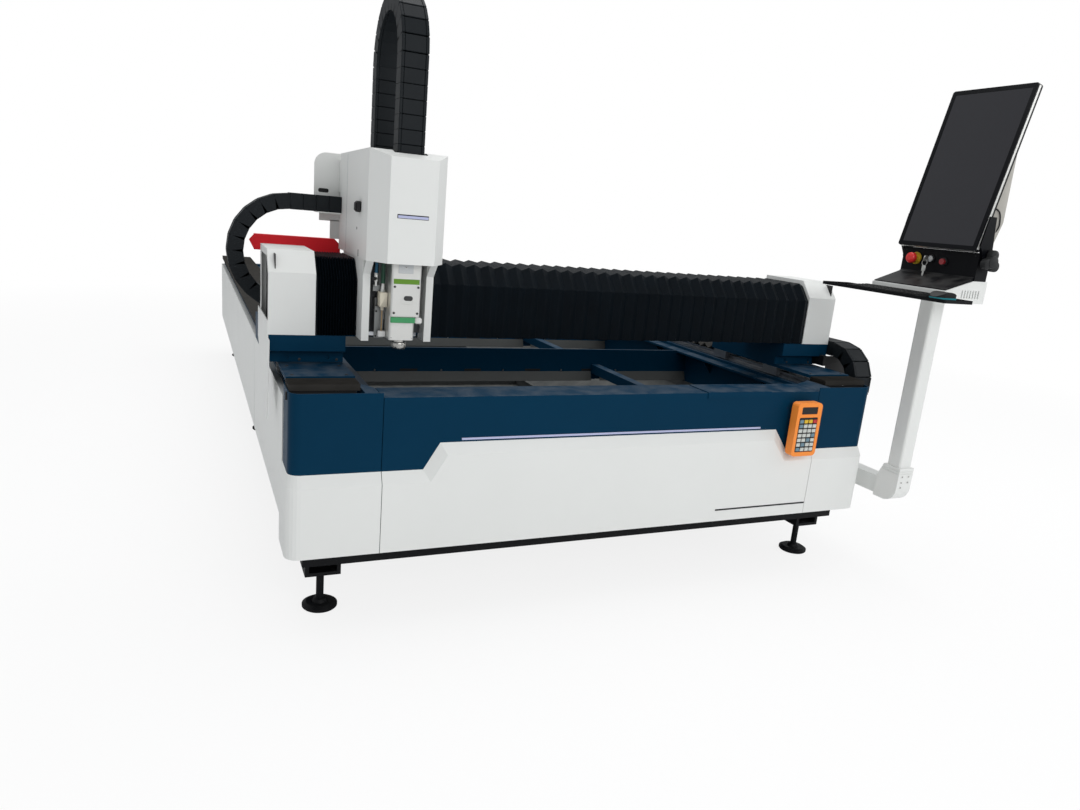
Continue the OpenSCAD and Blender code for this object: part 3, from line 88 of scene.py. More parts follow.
# %% [markdown]
# The camera stands at the front left of the machine, about two and a half metres from the cutting head, and looks
# a little down. Three turns set its aim: round the upright, up from straight down, and a small roll, because the
# picture was taken by hand.

# %% camera
TURN, TILT, ROLL = (math.radians(angle) for angle in (-24.896, 76.261, 5.155))
camera = bpy.data.objects.new("camera", bpy.data.cameras.new("camera"))
camera.data.lens = 26.18
camera.data.sensor_width = 36
camera.data.sensor_fit = "HORIZONTAL"
camera.matrix_world = (Matrix.Translation(at(-1357, -2215, 1294)) @ Matrix.Rotation(TURN, 4, "Z")
                       @ Matrix.Rotation(TILT, 4, "X") @ Matrix.Rotation(ROLL, 4, "Z"))
scene = bpy.context.scene
scene.collection.objects.link(camera)
scene.camera = camera
print("camera at", camera.matrix_world.translation[:])

# %% [markdown]
# A machine this long is lit best by a bright, even room. The world is a soft grey that the camera sees as white. A
# wide lamp above gives the tops their light, one in front lifts the faces that the camera sees and a weaker one on
# the right fills the shade. Nodes are made by two small functions from here on: one for any node, one for sums.

# %% room and lamps
def node(tree, kind, settings=(), values=(), wires=()):
    made = tree.nodes.new(kind)
    for key, value in dict(settings).items():
        setattr(made, key, value)
    for key, value in dict(values).items():
        made.inputs[key].default_value = value
    for key, socket in dict(wires).items():
        tree.links.new(socket, made.inputs[key])
    return made


def calc(tree, operation, *terms):
    made = node(tree, "ShaderNodeMath", {"operation": operation})
    for term, socket in zip(terms, made.inputs):
        if isinstance(term, bpy.types.NodeSocket):
            tree.links.new(term, socket)
        else:
            socket.default_value = term
    return made.outputs[0]


def lamp(name, place, target, size, power):
    data = bpy.data.lights.new(name, "AREA")
    data.shape = "RECTANGLE"
    data.size, data.size_y = size
    data.energy = power
    obj = bpy.data.objects.new(name, data)
    obj.location = place
    obj.rotation_euler = (Vector(target) - Vector(place)).to_track_quat("-Z", "Y").to_euler()
    scene.collection.objects.link(obj)
    return obj


ROOM_GREY, WHITE = (0.47, 0.48, 0.49, 1), (1, 1, 1, 1)
scene.view_settings.view_transform = "Standard"
world = bpy.data.worlds.new("room")
scene.world = world
world.use_nodes = True
room = world.node_tree
direct = node(room, "ShaderNodeLightPath").outputs["Is Camera Ray"]
pick = node(room, "ShaderNodeMix", {"data_type": "RGBA"}, {"A": ROOM_GREY, "B": WHITE}, {"Factor": direct})
room.links.new(pick.outputs["Result"], room.nodes["Background"].inputs["Color"])
room.nodes["Background"].inputs["Strength"].default_value = 1
lamps = [
    lamp("lamp_top", (0.4, 0.2, 5.2), (0, 0, 0.6), (5, 7), 170),
    lamp("lamp_front", (0.4, -7.0, 3.2), (0, -1.8, 0.8), (3.6, 2.4), 82),
    lamp("lamp_right", (4.8, -3.4, 2.8), (0.4, -1.4, 0.8), (2.4, 2.4), 40),
]
print(len(lamps), "lamps")

# %% [markdown]
# The floor is a plain pale sheet. To the camera most of it glows, so that it is nearly white and still keeps the
# machine's shadow, and far from the machine it glows fully, so that no horizon shows.

# %% floor
NEAR, FAR = 2.6, 7.0
bm = bmesh.new()
bmesh.ops.create_grid(bm, x_segments=1, y_segments=1, size=40)
floor_mesh = bpy.data.meshes.new("floor")
bm.to_mesh(floor_mesh)
bm.free()
floor = bpy.data.objects.new("floor", floor_mesh)
floor.location.z = -MM
scene.collection.objects.link(floor)
white = bpy.data.materials.new("floor_white")
white.use_nodes = True
ft = white.node_tree
matte = ft.nodes["Principled BSDF"]
matte.inputs["Base Color"].default_value = (0.97, 0.97, 0.97, 1)
matte.inputs["Roughness"].default_value = 0.9
glow = node(ft, "ShaderNodeEmission", values={"Color": WHITE})
distance = node(ft, "ShaderNodeVectorMath", {"operation": "LENGTH"},
                wires={0: node(ft, "ShaderNodeTexCoord").outputs["Object"]})
share = node(ft, "ShaderNodeMapRange", values={"From Min": NEAR, "From Max": FAR, "To Min": 0.84, "To Max": 1.0},
             wires={"Value": distance.outputs["Value"]})
direct = node(ft, "ShaderNodeLightPath").outputs["Is Camera Ray"]
mixed = node(ft, "ShaderNodeMixShader", wires={
    "Fac": calc(ft, "MULTIPLY", direct, share.outputs["Result"]), 1: matte.outputs[0], 2: glow.outputs[0]})
ft.links.new(mixed.outputs[0], ft.nodes["Material Output"].inputs["Surface"])
floor_mesh.materials.append(white)
print("floor glows fully from", FAR, "m")

# %% [markdown]
# Powder coat is never one flat colour. Seen close it has a fine orange peel, and over a long sheet its tone and
# sheen drift a little; level tops hold some dust. One node group makes all three for every painted part, so
# each paint only states its colour, its sheen and how coarse its skin is.

# %% shared effect: powder coat
COLOUR, NUMBER = "NodeSocketColor", "NodeSocketFloat"
EFFECTS = {"Colour": COLOUR, "Roughness": NUMBER, "Height": NUMBER}
DUST_COLOUR = (0.42, 0.41, 0.39, 1)


def new_group(name, inputs):
    tree = bpy.data.node_groups.new(name, "ShaderNodeTree")
    for side, sockets in (("INPUT", inputs), ("OUTPUT", EFFECTS)):
        for label, kind in sockets.items():
            tree.interface.new_socket(label, in_out=side, socket_type=kind)
    return tree, tree.nodes.new("NodeGroupInput").outputs, tree.nodes.new("NodeGroupOutput").inputs


def noise(tree, place, values, wires=()):
    return node(tree, "ShaderNodeTexNoise", values=values, wires={"Vector": place, **dict(wires)}).outputs["Fac"]


def scaled(tree, colour, factor):
    return node(tree, "ShaderNodeVectorMath", {"operation": "SCALE"}, wires={0: colour, "Scale": factor}).outputs[0]


coat, given, result = new_group("powder_coat", {
    "Colour": COLOUR, "Roughness": NUMBER, "Grain": NUMBER, "Drift": NUMBER, "Dust": NUMBER})
place = node(coat, "ShaderNodeTexCoord").outputs["Object"]
slow = noise(coat, place, {"Scale": 2.2, "Detail": 4, "Roughness": 0.6})
mid = noise(coat, place, {"Scale": 18, "Detail": 3})
fine = noise(coat, place, {"Detail": 1}, {"Scale": given["Grain"]})
fade = calc(coat, "MULTIPLY_ADD", calc(coat, "SUBTRACT", slow, 0.62), given["Drift"], 1.0)
toned = scaled(coat, given["Colour"], fade)
facing = node(coat, "ShaderNodeSeparateXYZ", wires={0: node(coat, "ShaderNodeNewGeometry").outputs["Normal"]})
level = node(coat, "ShaderNodeMapRange", values={"From Min": 0.6, "From Max": 1.0}, wires={0: facing.outputs["Z"]})
patchy = node(coat, "ShaderNodeMapRange", values={"From Min": 0.35, "From Max": 0.7}, wires={0: mid})
dust = calc(coat, "MULTIPLY", calc(coat, "MULTIPLY", level.outputs[0], patchy.outputs[0]), given["Dust"])
laid = node(coat, "ShaderNodeMix", {"data_type": "RGBA"}, {"B": DUST_COLOUR}, {"Factor": dust, "A": toned})
sheen = calc(coat, "MULTIPLY_ADD", calc(coat, "SUBTRACT", mid, 0.5), 0.14, given["Roughness"])
coat.links.new(laid.outputs["Result"], result["Colour"])
coat.links.new(calc(coat, "ADD", sheen, dust), result["Roughness"])
coat.links.new(fine, result["Height"])
print("powder_coat with", len(coat.nodes), "nodes")

# %% [markdown]
# Ground and drawn metal shows fine lines along the way it was worked. A noise that is stretched far along one
# axis gives those lines, both in the sheen and in the relief. The stretch is an input, so a rail that lies along
# y and a beam rail that lies along x use the same group.

# %% shared effect: worked metal
metal, given, result = new_group("worked_metal", {
    "Colour": COLOUR, "Roughness": NUMBER, "Stretch": "NodeSocketVector", "Contrast": NUMBER})
place = node(metal, "ShaderNodeTexCoord").outputs["Object"]
pulled = node(metal, "ShaderNodeMapping", wires={"Vector": place, "Scale": given["Stretch"]})
lines = noise(metal, pulled.outputs[0], {"Scale": 40, "Detail": 5, "Roughness": 0.7})
smudge = noise(metal, place, {"Scale": 9, "Detail": 3})
gain = calc(metal, "MULTIPLY", calc(metal, "SUBTRACT", lines, 0.5), given["Contrast"])
handled = calc(metal, "MULTIPLY_ADD", calc(metal, "SUBTRACT", smudge, 0.5), 0.22, given["Roughness"])
metal.links.new(scaled(metal, given["Colour"], calc(metal, "ADD", gain, 1.0)), result["Colour"])
metal.links.new(calc(metal, "ADD", handled, gain), result["Roughness"])
metal.links.new(lines, result["Height"])
print("worked_metal with", len(metal.nodes), "nodes")

# %% [markdown]
# The bellows are cut from coated cloth. The coating lets the weave show through as a fine over and under, and
# the folds are rubbed duller. The threads run along the beam and round its section, so one wave follows x and
# the other follows y and z together.

# %% shared effect: coated cloth
cloth, given, result = new_group("coated_cloth", {"Colour": COLOUR, "Roughness": NUMBER, "Threads": NUMBER})
place = node(cloth, "ShaderNodeTexCoord").outputs["Object"]
parts = node(cloth, "ShaderNodeSeparateXYZ", wires={0: place}).outputs
warp, weft = (calc(cloth, "SINE", calc(cloth, "MULTIPLY", way, given["Threads"]))
              for way in (parts["X"], calc(cloth, "ADD", parts["Y"], parts["Z"])))
rubbed = noise(cloth, place, {"Scale": 14, "Detail": 4})
dull = calc(cloth, "MULTIPLY_ADD", calc(cloth, "SUBTRACT", rubbed, 0.5), 0.3, given["Roughness"])
pale = calc(cloth, "MULTIPLY_ADD", rubbed, 0.9, 0.6)
cloth.links.new(scaled(cloth, given["Colour"], pale), result["Colour"])
cloth.links.new(dull, result["Roughness"])
cloth.links.new(calc(cloth, "MULTIPLY", warp, weft), result["Height"])
print("coated_cloth with", len(cloth.nodes), "nodes")

# %% [markdown]
# Each material slot of the record becomes one material. The colour comes from the record, so a repaint there
# reaches the picture too, and three factors tune it to the light of this room. Paint and plastic use the powder coat
# group, metal the worked metal group and the bellows the cloth group; only the numbers differ.

# %% materials by effect
tint = {m["slot"]: (*m["base_color"], 1) for m in record["materials"]}


def shift(slot, red, green, blue):
    return tuple(min(1, a * b) for a, b in zip(tint[slot], (red, green, blue))) + (1,)


def coloured(name, tune=(1, 1, 1), **look):
    return look if "colour" in look else {"colour": shift(name, *tune), **look}


def finish_from(name, tree, values, relief, metallic=0.0, clear=0.0, shine=0.5):
    mat = bpy.data.materials.new(name)
    mat.use_nodes = True
    nt = mat.node_tree
    bsdf = nt.nodes["Principled BSDF"]
    effect = node(nt, "ShaderNodeGroup", {"node_tree": tree}, values)
    bump = node(nt, "ShaderNodeBump", values={"Strength": relief, "Distance": 0.0004},
                wires={"Height": effect.outputs["Height"]})
    nt.links.new(effect.outputs["Colour"], bsdf.inputs["Base Color"])
    nt.links.new(effect.outputs["Roughness"], bsdf.inputs["Roughness"])
    nt.links.new(bump.outputs["Normal"], bsdf.inputs["Normal"])
    bsdf.inputs["Metallic"].default_value = metallic
    bsdf.inputs["Coat Weight"].default_value = clear
    bsdf.inputs["Specular IOR Level"].default_value = shine
    return mat


def paint(name, colour, rough=0.4, grain=700, drift=0.12, dust=0.1, relief=0.12, clear=0.0, shine=0.4):
    values = {"Colour": colour, "Roughness": rough, "Grain": grain, "Drift": drift, "Dust": dust}
    return finish_from(name, coat, values, relief, clear=clear, shine=shine)


def worked(name, colour, rough, stretch, contrast=0.2, relief=0.1):
    values = {"Colour": colour, "Roughness": rough, "Stretch": stretch, "Contrast": contrast}
    return finish_from(name, metal, values, relief, metallic=1.0)


def woven(name, colour, rough, shine):
    return finish_from(name, cloth, {"Colour": colour, "Roughness": rough, "Threads": 2600}, 0.2, shine=shine)


print(len(tint), "slots in the record")

# %% materials for the record's slots
paints = {
    "navy_paint": dict(tune=(0.2, 0.92, 0.95), rough=0.42, grain=650, drift=0.25, dust=0.14, relief=0.14, shine=0.05),
    "white_paint": dict(rough=0.42, grain=650, drift=0.06, dust=0.05, relief=0.14, shine=0.3),
    "black_paint": dict(tune=(0.5, 0.5, 0.55), rough=0.5, grain=900, drift=0.3, dust=0.05, relief=0.3, shine=0.14),
    "motor_black": dict(rough=0.42, grain=500, drift=0.3, dust=0.06, relief=0.15, shine=0.25),
    "red_paint": dict(tune=(1.9, 1.35, 1.35), rough=0.36, grain=650, drift=0.2, dust=0.03, shine=0.12),
    "chain_plastic": dict(tune=(0.5, 0.55, 0.6), rough=0.46, grain=1200, drift=0.35, dust=0.05, relief=0.2, shine=0.12),
    "drawer_green": dict(tune=(0.55, 0.55, 0.5), rough=0.32, grain=900, drift=0.15, dust=0.0, relief=0.1),
    "sensor_beige": dict(rough=0.5, grain=1100, dust=0.08, relief=0.15),
    "pendant_orange": dict(tune=(1.3, 1.2, 1.15), rough=0.34, grain=900, drift=0.1, dust=0.02, relief=0.15, shine=0.3),
    "key_black": dict(rough=0.48, grain=1300, drift=0.3, dust=0.06, relief=0.2, shine=0.2),
    "screen_glass": dict(rough=0.08, grain=60, drift=0.2, dust=0.0, relief=0.01, clear=0.4),
    # monitor_white is darkened here to a grey-beige as painted shade, since the screen's casing stands in shade
    "monitor_white": dict(tune=(0.5, 0.48, 0.43), rough=0.42, grain=1200, drift=0.06, dust=0.05, relief=0.15),
    "button_red": dict(rough=0.28, grain=900, drift=0.15, dust=0.0, relief=0.08, clear=0.4),
    "start_red": dict(colour=shift("button_red", 0.4, 0.6, 0.8), rough=0.22, grain=900, drift=0.15, dust=0.0,
                      relief=0.08, clear=0.5),
    "bezel_black": dict(colour=(0.0025, 0.003, 0.0045, 1), rough=0.3, grain=900, drift=0.2, dust=0.02, relief=0.05,
                        shine=0.14),
    "panel_black": dict(colour=(0.004, 0.0045, 0.006, 1), rough=0.45, grain=900, drift=0.2, relief=0.1, dust=0.12,
                        shine=0.14),
    # painted shade: this dark grey stands for the shade over the chutes, and the scrap pans and trough aprons share it
    "scrap_grey": dict(colour=(0.085, 0.09, 0.088, 1), rough=0.6, grain=300, drift=0.5, dust=0.2, relief=0.25,
                       shine=0.25),
}
ALONG_X, ALONG_Y, UPRIGHT, EVEN, ROUND = (0.6, 26, 26), (26, 0.6, 26), (8, 8, 1.2), (22, 22, 22), (4, 4, 60)
metals = {
    "ground_steel": dict(tune=(0.6, 0.6, 0.6), rough=0.32, stretch=ALONG_Y, contrast=0.12, relief=0.02),
    "ground_steel_across": dict(colour=tint["ground_steel"], rough=0.28, stretch=ALONG_X, contrast=0.15, relief=0.03),
    "plate_dark": dict(colour=shift("plate_grey", 0.16, 0.16, 0.165), rough=0.5, stretch=UPRIGHT),
    "plate_grey": dict(rough=0.42, stretch=UPRIGHT, contrast=0.15),
    "plate_mid": dict(colour=shift("plate_grey", 0.45, 0.45, 0.44), rough=0.45, stretch=UPRIGHT, contrast=0.15),
    "head_silver": dict(tune=(0.9, 0.89, 0.85), rough=0.4, stretch=EVEN, contrast=0.12, relief=0.12),
    "nozzle_silver": dict(tune=(0.7, 0.7, 0.68), rough=0.28, stretch=ROUND),
}
mats = {name: paint(name, **coloured(name, **look)) for name, look in paints.items()}
mats.update((name, worked(name, **coloured(name, **look))) for name, look in metals.items())
mats["cover_cloth"] = woven("cover_cloth", (0.030, 0.028, 0.025, 1), rough=0.5, shine=0.12)
mats["bellows_cloth"] = woven("bellows_cloth", shift("bellows_cloth", 0.22, 0.45, 0.65), rough=0.42, shine=0.06)
print(len(mats), "materials")

# %% [markdown]
# Now every CAD piece takes the material of its slot. The parts that lie along the beam have their grinding
# lines along x instead of y, so they take the second steel. A few pieces differ from the rest of their slot: the
# plate behind the head is blackened, the chutes are a dull dark grey that is painted shade and the screen's rim is
# a deeper black.

# %% dress the CAD pieces
slot_of = {s["node"]: s["material_slot"] for s in record["subparts"]}
own_finish = {name: "ground_steel_across" for name in ("beam_rails", "beam_rack", "carriage_blocks", "key_switch")}
own_finish.update(carriage_plate="plate_dark", scrap_chutes="scrap_grey", start_button="start_red",
                  monitor_frame="bezel_black", control_box="panel_black", head_plate="plate_mid",
                  way_covers="cover_cloth")


def dress(obj, material):
    obj.data.materials.clear()
    obj.data.materials.append(material)
    return obj


for name, obj in nodes.items():
    dress(obj, mats[own_finish.get(name, slot_of[name])])
print("dressed", len(nodes), "CAD pieces")

# %% [markdown]
# Every new piece is made the same way: shapes are added to one bmesh, doubles are merged, normals are turned
# outward, and the mesh gets a material, a slot and a body to ride on. A bevelled block is the shape used most,
# because no sheet or moulding has a truly sharp edge.

# %% helpers for new pieces
X, Y, Z = Vector((1, 0, 0)), Vector((0, 1, 0)), Vector((0, 0, 1))


def piece(name, bm, material, body=None, smooth=None):
    bmesh.ops.remove_doubles(bm, verts=bm.verts, dist=1e-6)
    bmesh.ops.recalc_face_normals(bm, faces=bm.faces)
    mesh = bpy.data.meshes.new(name)
    bm.to_mesh(mesh)
    bm.free()
    if smooth:
        mesh.shade_smooth()
        mesh.set_sharp_from_angle(angle=math.radians(smooth))
    obj = bpy.data.objects.new(name, mesh)
    scene.collection.objects.link(obj)
    for m in material if isinstance(material, list) else [material]:
        mesh.materials.append(m)
    if body:
        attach(obj, body)
    return obj


def faces_of(verts):
    return list({f for v in verts for f in v.link_faces})


def edges_of(verts):
    return list({e for v in verts for e in v.link_edges})


def soften(bm, edges, radius, segments=1):
    bmesh.ops.bevel(bm, geom=edges, offset=radius * MM, segments=segments, profile=0.5, affect="EDGES", material=-1)


def cuboid(bm, size, turn=Matrix(), index=0):
    made = bmesh.ops.create_cube(bm, size=1, matrix=turn @ Matrix.Diagonal((*[s * MM for s in size], 1)))["verts"]
    for f in faces_of(made):
        f.material_index = index
    return made


def block(bm, size, turn=Matrix(), soft=0.8, index=0):
    soften(bm, edges_of(cuboid(bm, size, turn, index)), soft)


def span(bm, x0, x1, y0, y1, z0, z1, soft=0.8, index=0):
    middle = at((x0 + x1) / 2, (y0 + y1) / 2, (z0 + z1) / 2)
    block(bm, (x1 - x0, y1 - y0, z1 - z0), Matrix.Translation(middle), soft, index)


def disc(bm, point, direction, diameter, height, segments=20, soft=0.0, index=0, top=None):
    axis = Vector(direction).normalized()
    turn = Matrix.Translation(point) @ axis.to_track_quat("Z", "Y").to_matrix().to_4x4()
    turn = turn @ Matrix.Translation((0, 0, height * MM / 2))
    made = bmesh.ops.create_cone(bm, cap_ends=True, segments=segments, radius1=diameter * MM / 2,
                                 radius2=(top or diameter) * MM / 2, depth=height * MM, matrix=turn)["verts"]
    for f in faces_of(made):
        f.material_index = index
    if soft:
        far_end = turn @ Vector((0, 0, height * MM / 2))
        rim = [e for e in edges_of(made) if all(abs((v.co - far_end).dot(axis)) < 1e-6 for v in e.verts)]
        soften(bm, rim, soft, 2)


print("helpers ready")

# %% [markdown]
# The beam's bellows are one folded sheet each. A single row of edges follows the section of the beam, and
# extruding that row again and again, in and out, makes the pleats. The folds are then bevelled, because cloth
# turns in a small round, and the sheet gets its thickness. The left one stays where it is built and the long
# right one rides on the gantry.

# %% folded bellows on the beam
FACE, NOSE, REAR = 295, 349, 560
FOOT, SHOULDER, ROOF = 859, 1037, 1102
FOLD = 11
CAP_INSIDE, LEFT_LEG, RIGHT_LEG = 988, -861, -638
nose_angle = math.atan2(ROOF - SHOULDER, NOSE - FACE)


def fold_line(depth):
    down = depth * (1 - math.sin(nose_angle)) / math.cos(nose_angle)
    back = depth * (1 - math.cos(nose_angle)) / math.sin(nose_angle)
    return [(FACE + depth, FOOT), (FACE + depth, SHOULDER - down), (NOSE + back, ROOF - depth), (REAR, ROOF - depth)]


def bellows(name, node_name, x0, x1, pleats, turn_in, cloth_t):
    bm = bmesh.new()
    row = [bm.verts.new(at(x0, y, z)) for y, z in fold_line(FOLD)]
    edges = [bm.edges.new(pair) for pair in zip(row, row[1:])]
    for i in range(1, 2 * pleats + 1):
        made = bmesh.ops.extrude_edge_only(bm, edges=edges)["geom"]
        edges = [g for g in made if isinstance(g, bmesh.types.BMEdge)]
        row = sorted((g for g in made if isinstance(g, bmesh.types.BMVert)), key=lambda v: (v.co.y, v.co.z))
        for v, (y, z) in zip(row, fold_line(0 if i % 2 else FOLD)):
            v.co = at(x0 + (x1 - x0) * i / (2 * pleats), y, z)
    folds = [e for e in bm.edges if len(e.link_faces) == 2 and abs(e.verts[0].co.x - e.verts[1].co.x) < 1e-6]
    soften(bm, folds, turn_in, 2)
    bmesh.ops.solidify(bm, geom=bm.faces[:], thickness=cloth_t * MM)
    obj = piece(name, bm, mats["bellows_cloth"])
    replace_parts(obj, node_name)
    return obj


folded_left = bellows("folds_left", "bellows_left", -CAP_INSIDE, LEFT_LEG, pleats=15, turn_in=1.5, cloth_t=1.0)
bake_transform(folded_left)
folded_right = bellows("folds_right", "bellows_right", RIGHT_LEG, CAP_INSIDE, pleats=32, turn_in=1.6, cloth_t=1.4)
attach(folded_right, "gantry")
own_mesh(folded_right)
print(len(folded_right.data.polygons), "faces in the long bellows")

# %% [markdown]
# Flat pleated covers lie over the bed's rails, one pair in front of the gantry and one behind it. At rest the front
# pair is packed tight, so it is folded here from one edge with as many pleats as it needs when it is drawn out.
# The rear pair is the rear half of the CAD's piece and rides on the bed.

# %% covers over the bed's rails
COVER_START, COVER_END, COVER_STEPS = 40.4, 127.6, 56
COVER_LOW, COVER_HIGH = 741, 755
COVER_SIDES = ((-1096, -894), (894, 1096))


def copy_of(node_name):
    bm = bmesh.new()
    bm.from_mesh(nodes[node_name].data)
    bmesh.ops.remove_doubles(bm, verts=bm.verts, dist=1e-6)
    return bm


bm = bmesh.new()
for sides in COVER_SIDES:
    line = [bm.edges.new([bm.verts.new(at(x, COVER_START, COVER_LOW)) for x in sides])]
    for i in range(1, COVER_STEPS + 1):
        made = bmesh.ops.extrude_edge_only(bm, edges=line)["geom"]
        line = [g for g in made if isinstance(g, bmesh.types.BMEdge)]
        fold = at(0, COVER_START + (COVER_END - COVER_START) * i / COVER_STEPS, COVER_HIGH if i % 2 else COVER_LOW)
        for v in line[0].verts:
            v.co.yz = fold.yz
bmesh.ops.solidify(bm, geom=bm.faces[:], thickness=0.5 * MM)
front_covers = piece("covers_front", bm, mats["cover_cloth"])
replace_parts(front_covers, "way_covers")
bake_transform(front_covers)
bm = copy_of("way_covers")
ahead = [f for f in bm.faces if f.calc_center_median().y <= at(0, 400, 0).y]
bmesh.ops.delete(bm, geom=ahead, context="FACES")
rear_covers = piece("covers_rear", bm, mats["cover_cloth"])
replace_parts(rear_covers, "way_covers")
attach(rear_covers, "bed")
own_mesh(rear_covers)
print("covers", len(front_covers.data.polygons), len(rear_covers.data.polygons))

# %% [markdown]
# A cable chain is a row of moulded links: two side plates, with a snap-on bar across the outside and one across
# the inside. One link is built once as a recipe and set down along the chain's path, a straight run, a half
# circle and another run. The bend rides on its own body.

# %% recipe of a cable chain
def link(bm, point, along, across, length, width, thick):
    turn = Matrix.Translation(point) @ Matrix((along, across, along.cross(across))).transposed().to_4x4()
    for side in (-1, 1):
        cheek = turn @ Matrix.Translation((0, side * (width / 2 - 4.5) * MM, 0))
        block(bm, (length * 0.99, 9, thick), cheek, 1.4)
        bar = turn @ Matrix.Translation((0, 0, side * (thick / 2 - 4) * MM))
        block(bm, (length * 0.96, width - 19, 6), bar, 1.2)
    block(bm, (length * 1.03, width - 30, thick - 22), turn, 2)


def run(bm, start, end, across, pitch, width, thick):
    count = max(1, round((end - start).length / (pitch * MM)))
    along = (end - start).normalized()
    for i in range(count):
        link(bm, start.lerp(end, (i + 0.5) / count), along, across, (end - start).length / count / MM, width, thick)
    return count


def half_bend(bm, centre, radius, outward, across, pitch, width, thick):
    base = across.orthogonal().normalized()
    first = math.atan2(across.dot(base.cross(outward)), base.dot(outward)) - math.pi / 2
    count = round(math.pi * radius / pitch)
    for i in range(count):
        arm = Matrix.Rotation(first + math.pi * (i + 0.5) / count, 3, across) @ base
        step = 2 * (radius + thick / 2) * math.tan(math.pi / count / 2)
        link(bm, centre + arm * radius * MM, across.cross(arm), across, min(step, pitch * 1.12), width, thick)
    return count


def chain_piece(name, node_name, bm, body=None):
    obj = piece(name, bm, mats["chain_plastic"], body)
    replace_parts(obj, node_name)
    return obj


print("chain recipe ready")

# %% chain over the head
HEAD_LINK = dict(across=X, pitch=42, width=81, thick=55)
HEAD_X, RISE_Y, FALL_Y, CROWN = -746.5, 179.5, 508.5, 1703
bm = bmesh.new()
links = run(bm, at(HEAD_X, RISE_Y, 1115), at(HEAD_X, RISE_Y, CROWN), **HEAD_LINK)
z_front = chain_piece("z_chain_front", "z_chain", bm)
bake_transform(z_front)
bm = bmesh.new()
links += half_bend(bm, at(HEAD_X, (RISE_Y + FALL_Y) / 2, CROWN), (FALL_Y - RISE_Y) / 2, Z, **HEAD_LINK)
links += run(bm, at(HEAD_X, FALL_Y, CROWN), at(HEAD_X, FALL_Y, 1295), **HEAD_LINK)
chain_piece("z_chain_top", "z_chain", bm, "carriage")
print(links, "links over the head")

# %% [markdown]
# The same recipe makes the chain behind the beam, which follows the carriage, and the heavier one beside the bed,
# which follows the gantry. Their bends are a little smaller and thinner than half the gap between the runs, so
# that they pass clear of the beam, the lower run and the tray when the axes travel.

# %% chain behind the beam
BEAM_LINK = dict(across=Y, pitch=46, width=82)
BEAM_Y, BEAM_LOW, BEAM_HIGH = 639, 912, 1258
BEAM_TURN, BEAM_FIXED, BEAM_MOVING = -1034, 60, -864
bm = bmesh.new()
run(bm, at(BEAM_FIXED, BEAM_Y, BEAM_LOW), at(BEAM_TURN, BEAM_Y, BEAM_LOW), thick=54, **BEAM_LINK)
beam_lower = chain_piece("beam_chain_lower", "beam_chain", bm, "gantry")
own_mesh(beam_lower)
bm = bmesh.new()
half_bend(bm, at(BEAM_TURN, BEAM_Y, (BEAM_LOW + BEAM_HIGH) / 2), 171, -X, thick=51, **BEAM_LINK)
beam_bend = chain_piece("beam_chain_bend", "beam_chain", bm, "beam_loop")
bm = bmesh.new()
run(bm, at(BEAM_TURN, BEAM_Y, BEAM_HIGH), at(BEAM_MOVING, BEAM_Y, BEAM_HIGH), thick=54, **BEAM_LINK)
beam_upper = chain_piece("beam_chain_upper", "beam_chain", bm)
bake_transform(beam_upper)
print("beam chain faces", len(beam_lower.data.polygons), len(beam_bend.data.polygons))

# %% chain beside the bed
MAIN_LINK = dict(across=X, pitch=58, width=90)
MAIN_X, MAIN_LOW, MAIN_HIGH = 1177, 597, 843
MAIN_TURN, MAIN_FIXED, MAIN_MOVING = 273, 2000, 462
bm = bmesh.new()
run(bm, at(MAIN_X, MAIN_FIXED, MAIN_LOW), at(MAIN_X, MAIN_TURN + 10, MAIN_LOW), thick=60, **MAIN_LINK)
main_lower = chain_piece("main_chain_lower", "main_chain", bm, "bed")
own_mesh(main_lower)
bm = bmesh.new()
half_bend(bm, at(MAIN_X, MAIN_TURN, (MAIN_LOW + MAIN_HIGH) / 2), 121, -Y, thick=56, **MAIN_LINK)
main_bend = chain_piece("main_chain_bend", "main_chain", bm, "main_loop")
bm = bmesh.new()
run(bm, at(MAIN_X, MAIN_TURN, MAIN_HIGH), at(MAIN_X, MAIN_MOVING, MAIN_HIGH), thick=60, **MAIN_LINK)
main_upper = chain_piece("main_chain_upper", "main_chain", bm)
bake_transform(main_upper)
print("bed chain faces", len(main_lower.data.polygons), len(main_bend.data.polygons))

# %% [markdown]
# Along the top of the raised white skirt runs a slim light bar, a frosted strip in a pale violet. Further down on
# the right is a plain dark line. Both are thin sheet on a panel, so each is a bevelled block that stands off its
# panel by a millimetre or two.

# %% trim on the front
LIGHT_BAR, DARK_LINE = (-585, 574), (408, 830)
frost = paint("frosted_strip", (0.50, 0.53, 0.76, 1), rough=0.35, grain=300, drift=0.08, dust=0.0, relief=0.05,
              clear=0.2)
ink = paint("dark_detail", (0.008, 0.008, 0.009, 1), rough=0.5, grain=1200, drift=0.3, dust=0.05, relief=0.1)
bm = bmesh.new()
span(bm, *LIGHT_BAR, -3, 0, 590, 597)
piece("front_light", bm, frost, "bed")
bm = bmesh.new()
span(bm, *DARK_LINE, -21, -19.8, 285, 291, 0.3)
piece("front_line", bm, ink, "bed")
print("front strips", LIGHT_BAR[1] - LIGHT_BAR[0], "and", DARK_LINE[1] - DARK_LINE[0], "mm long")

# %% [markdown]
# The hand pendant hangs on the front panel. Its moulded case comes from the CAD, with the wells for the display
# and the keys. Here the wells get their dark faces and each key gets a soft cap that sits over its stub. The
# colours follow the rows: the function keys at the top are coloured, the rest are pale or grey-blue.

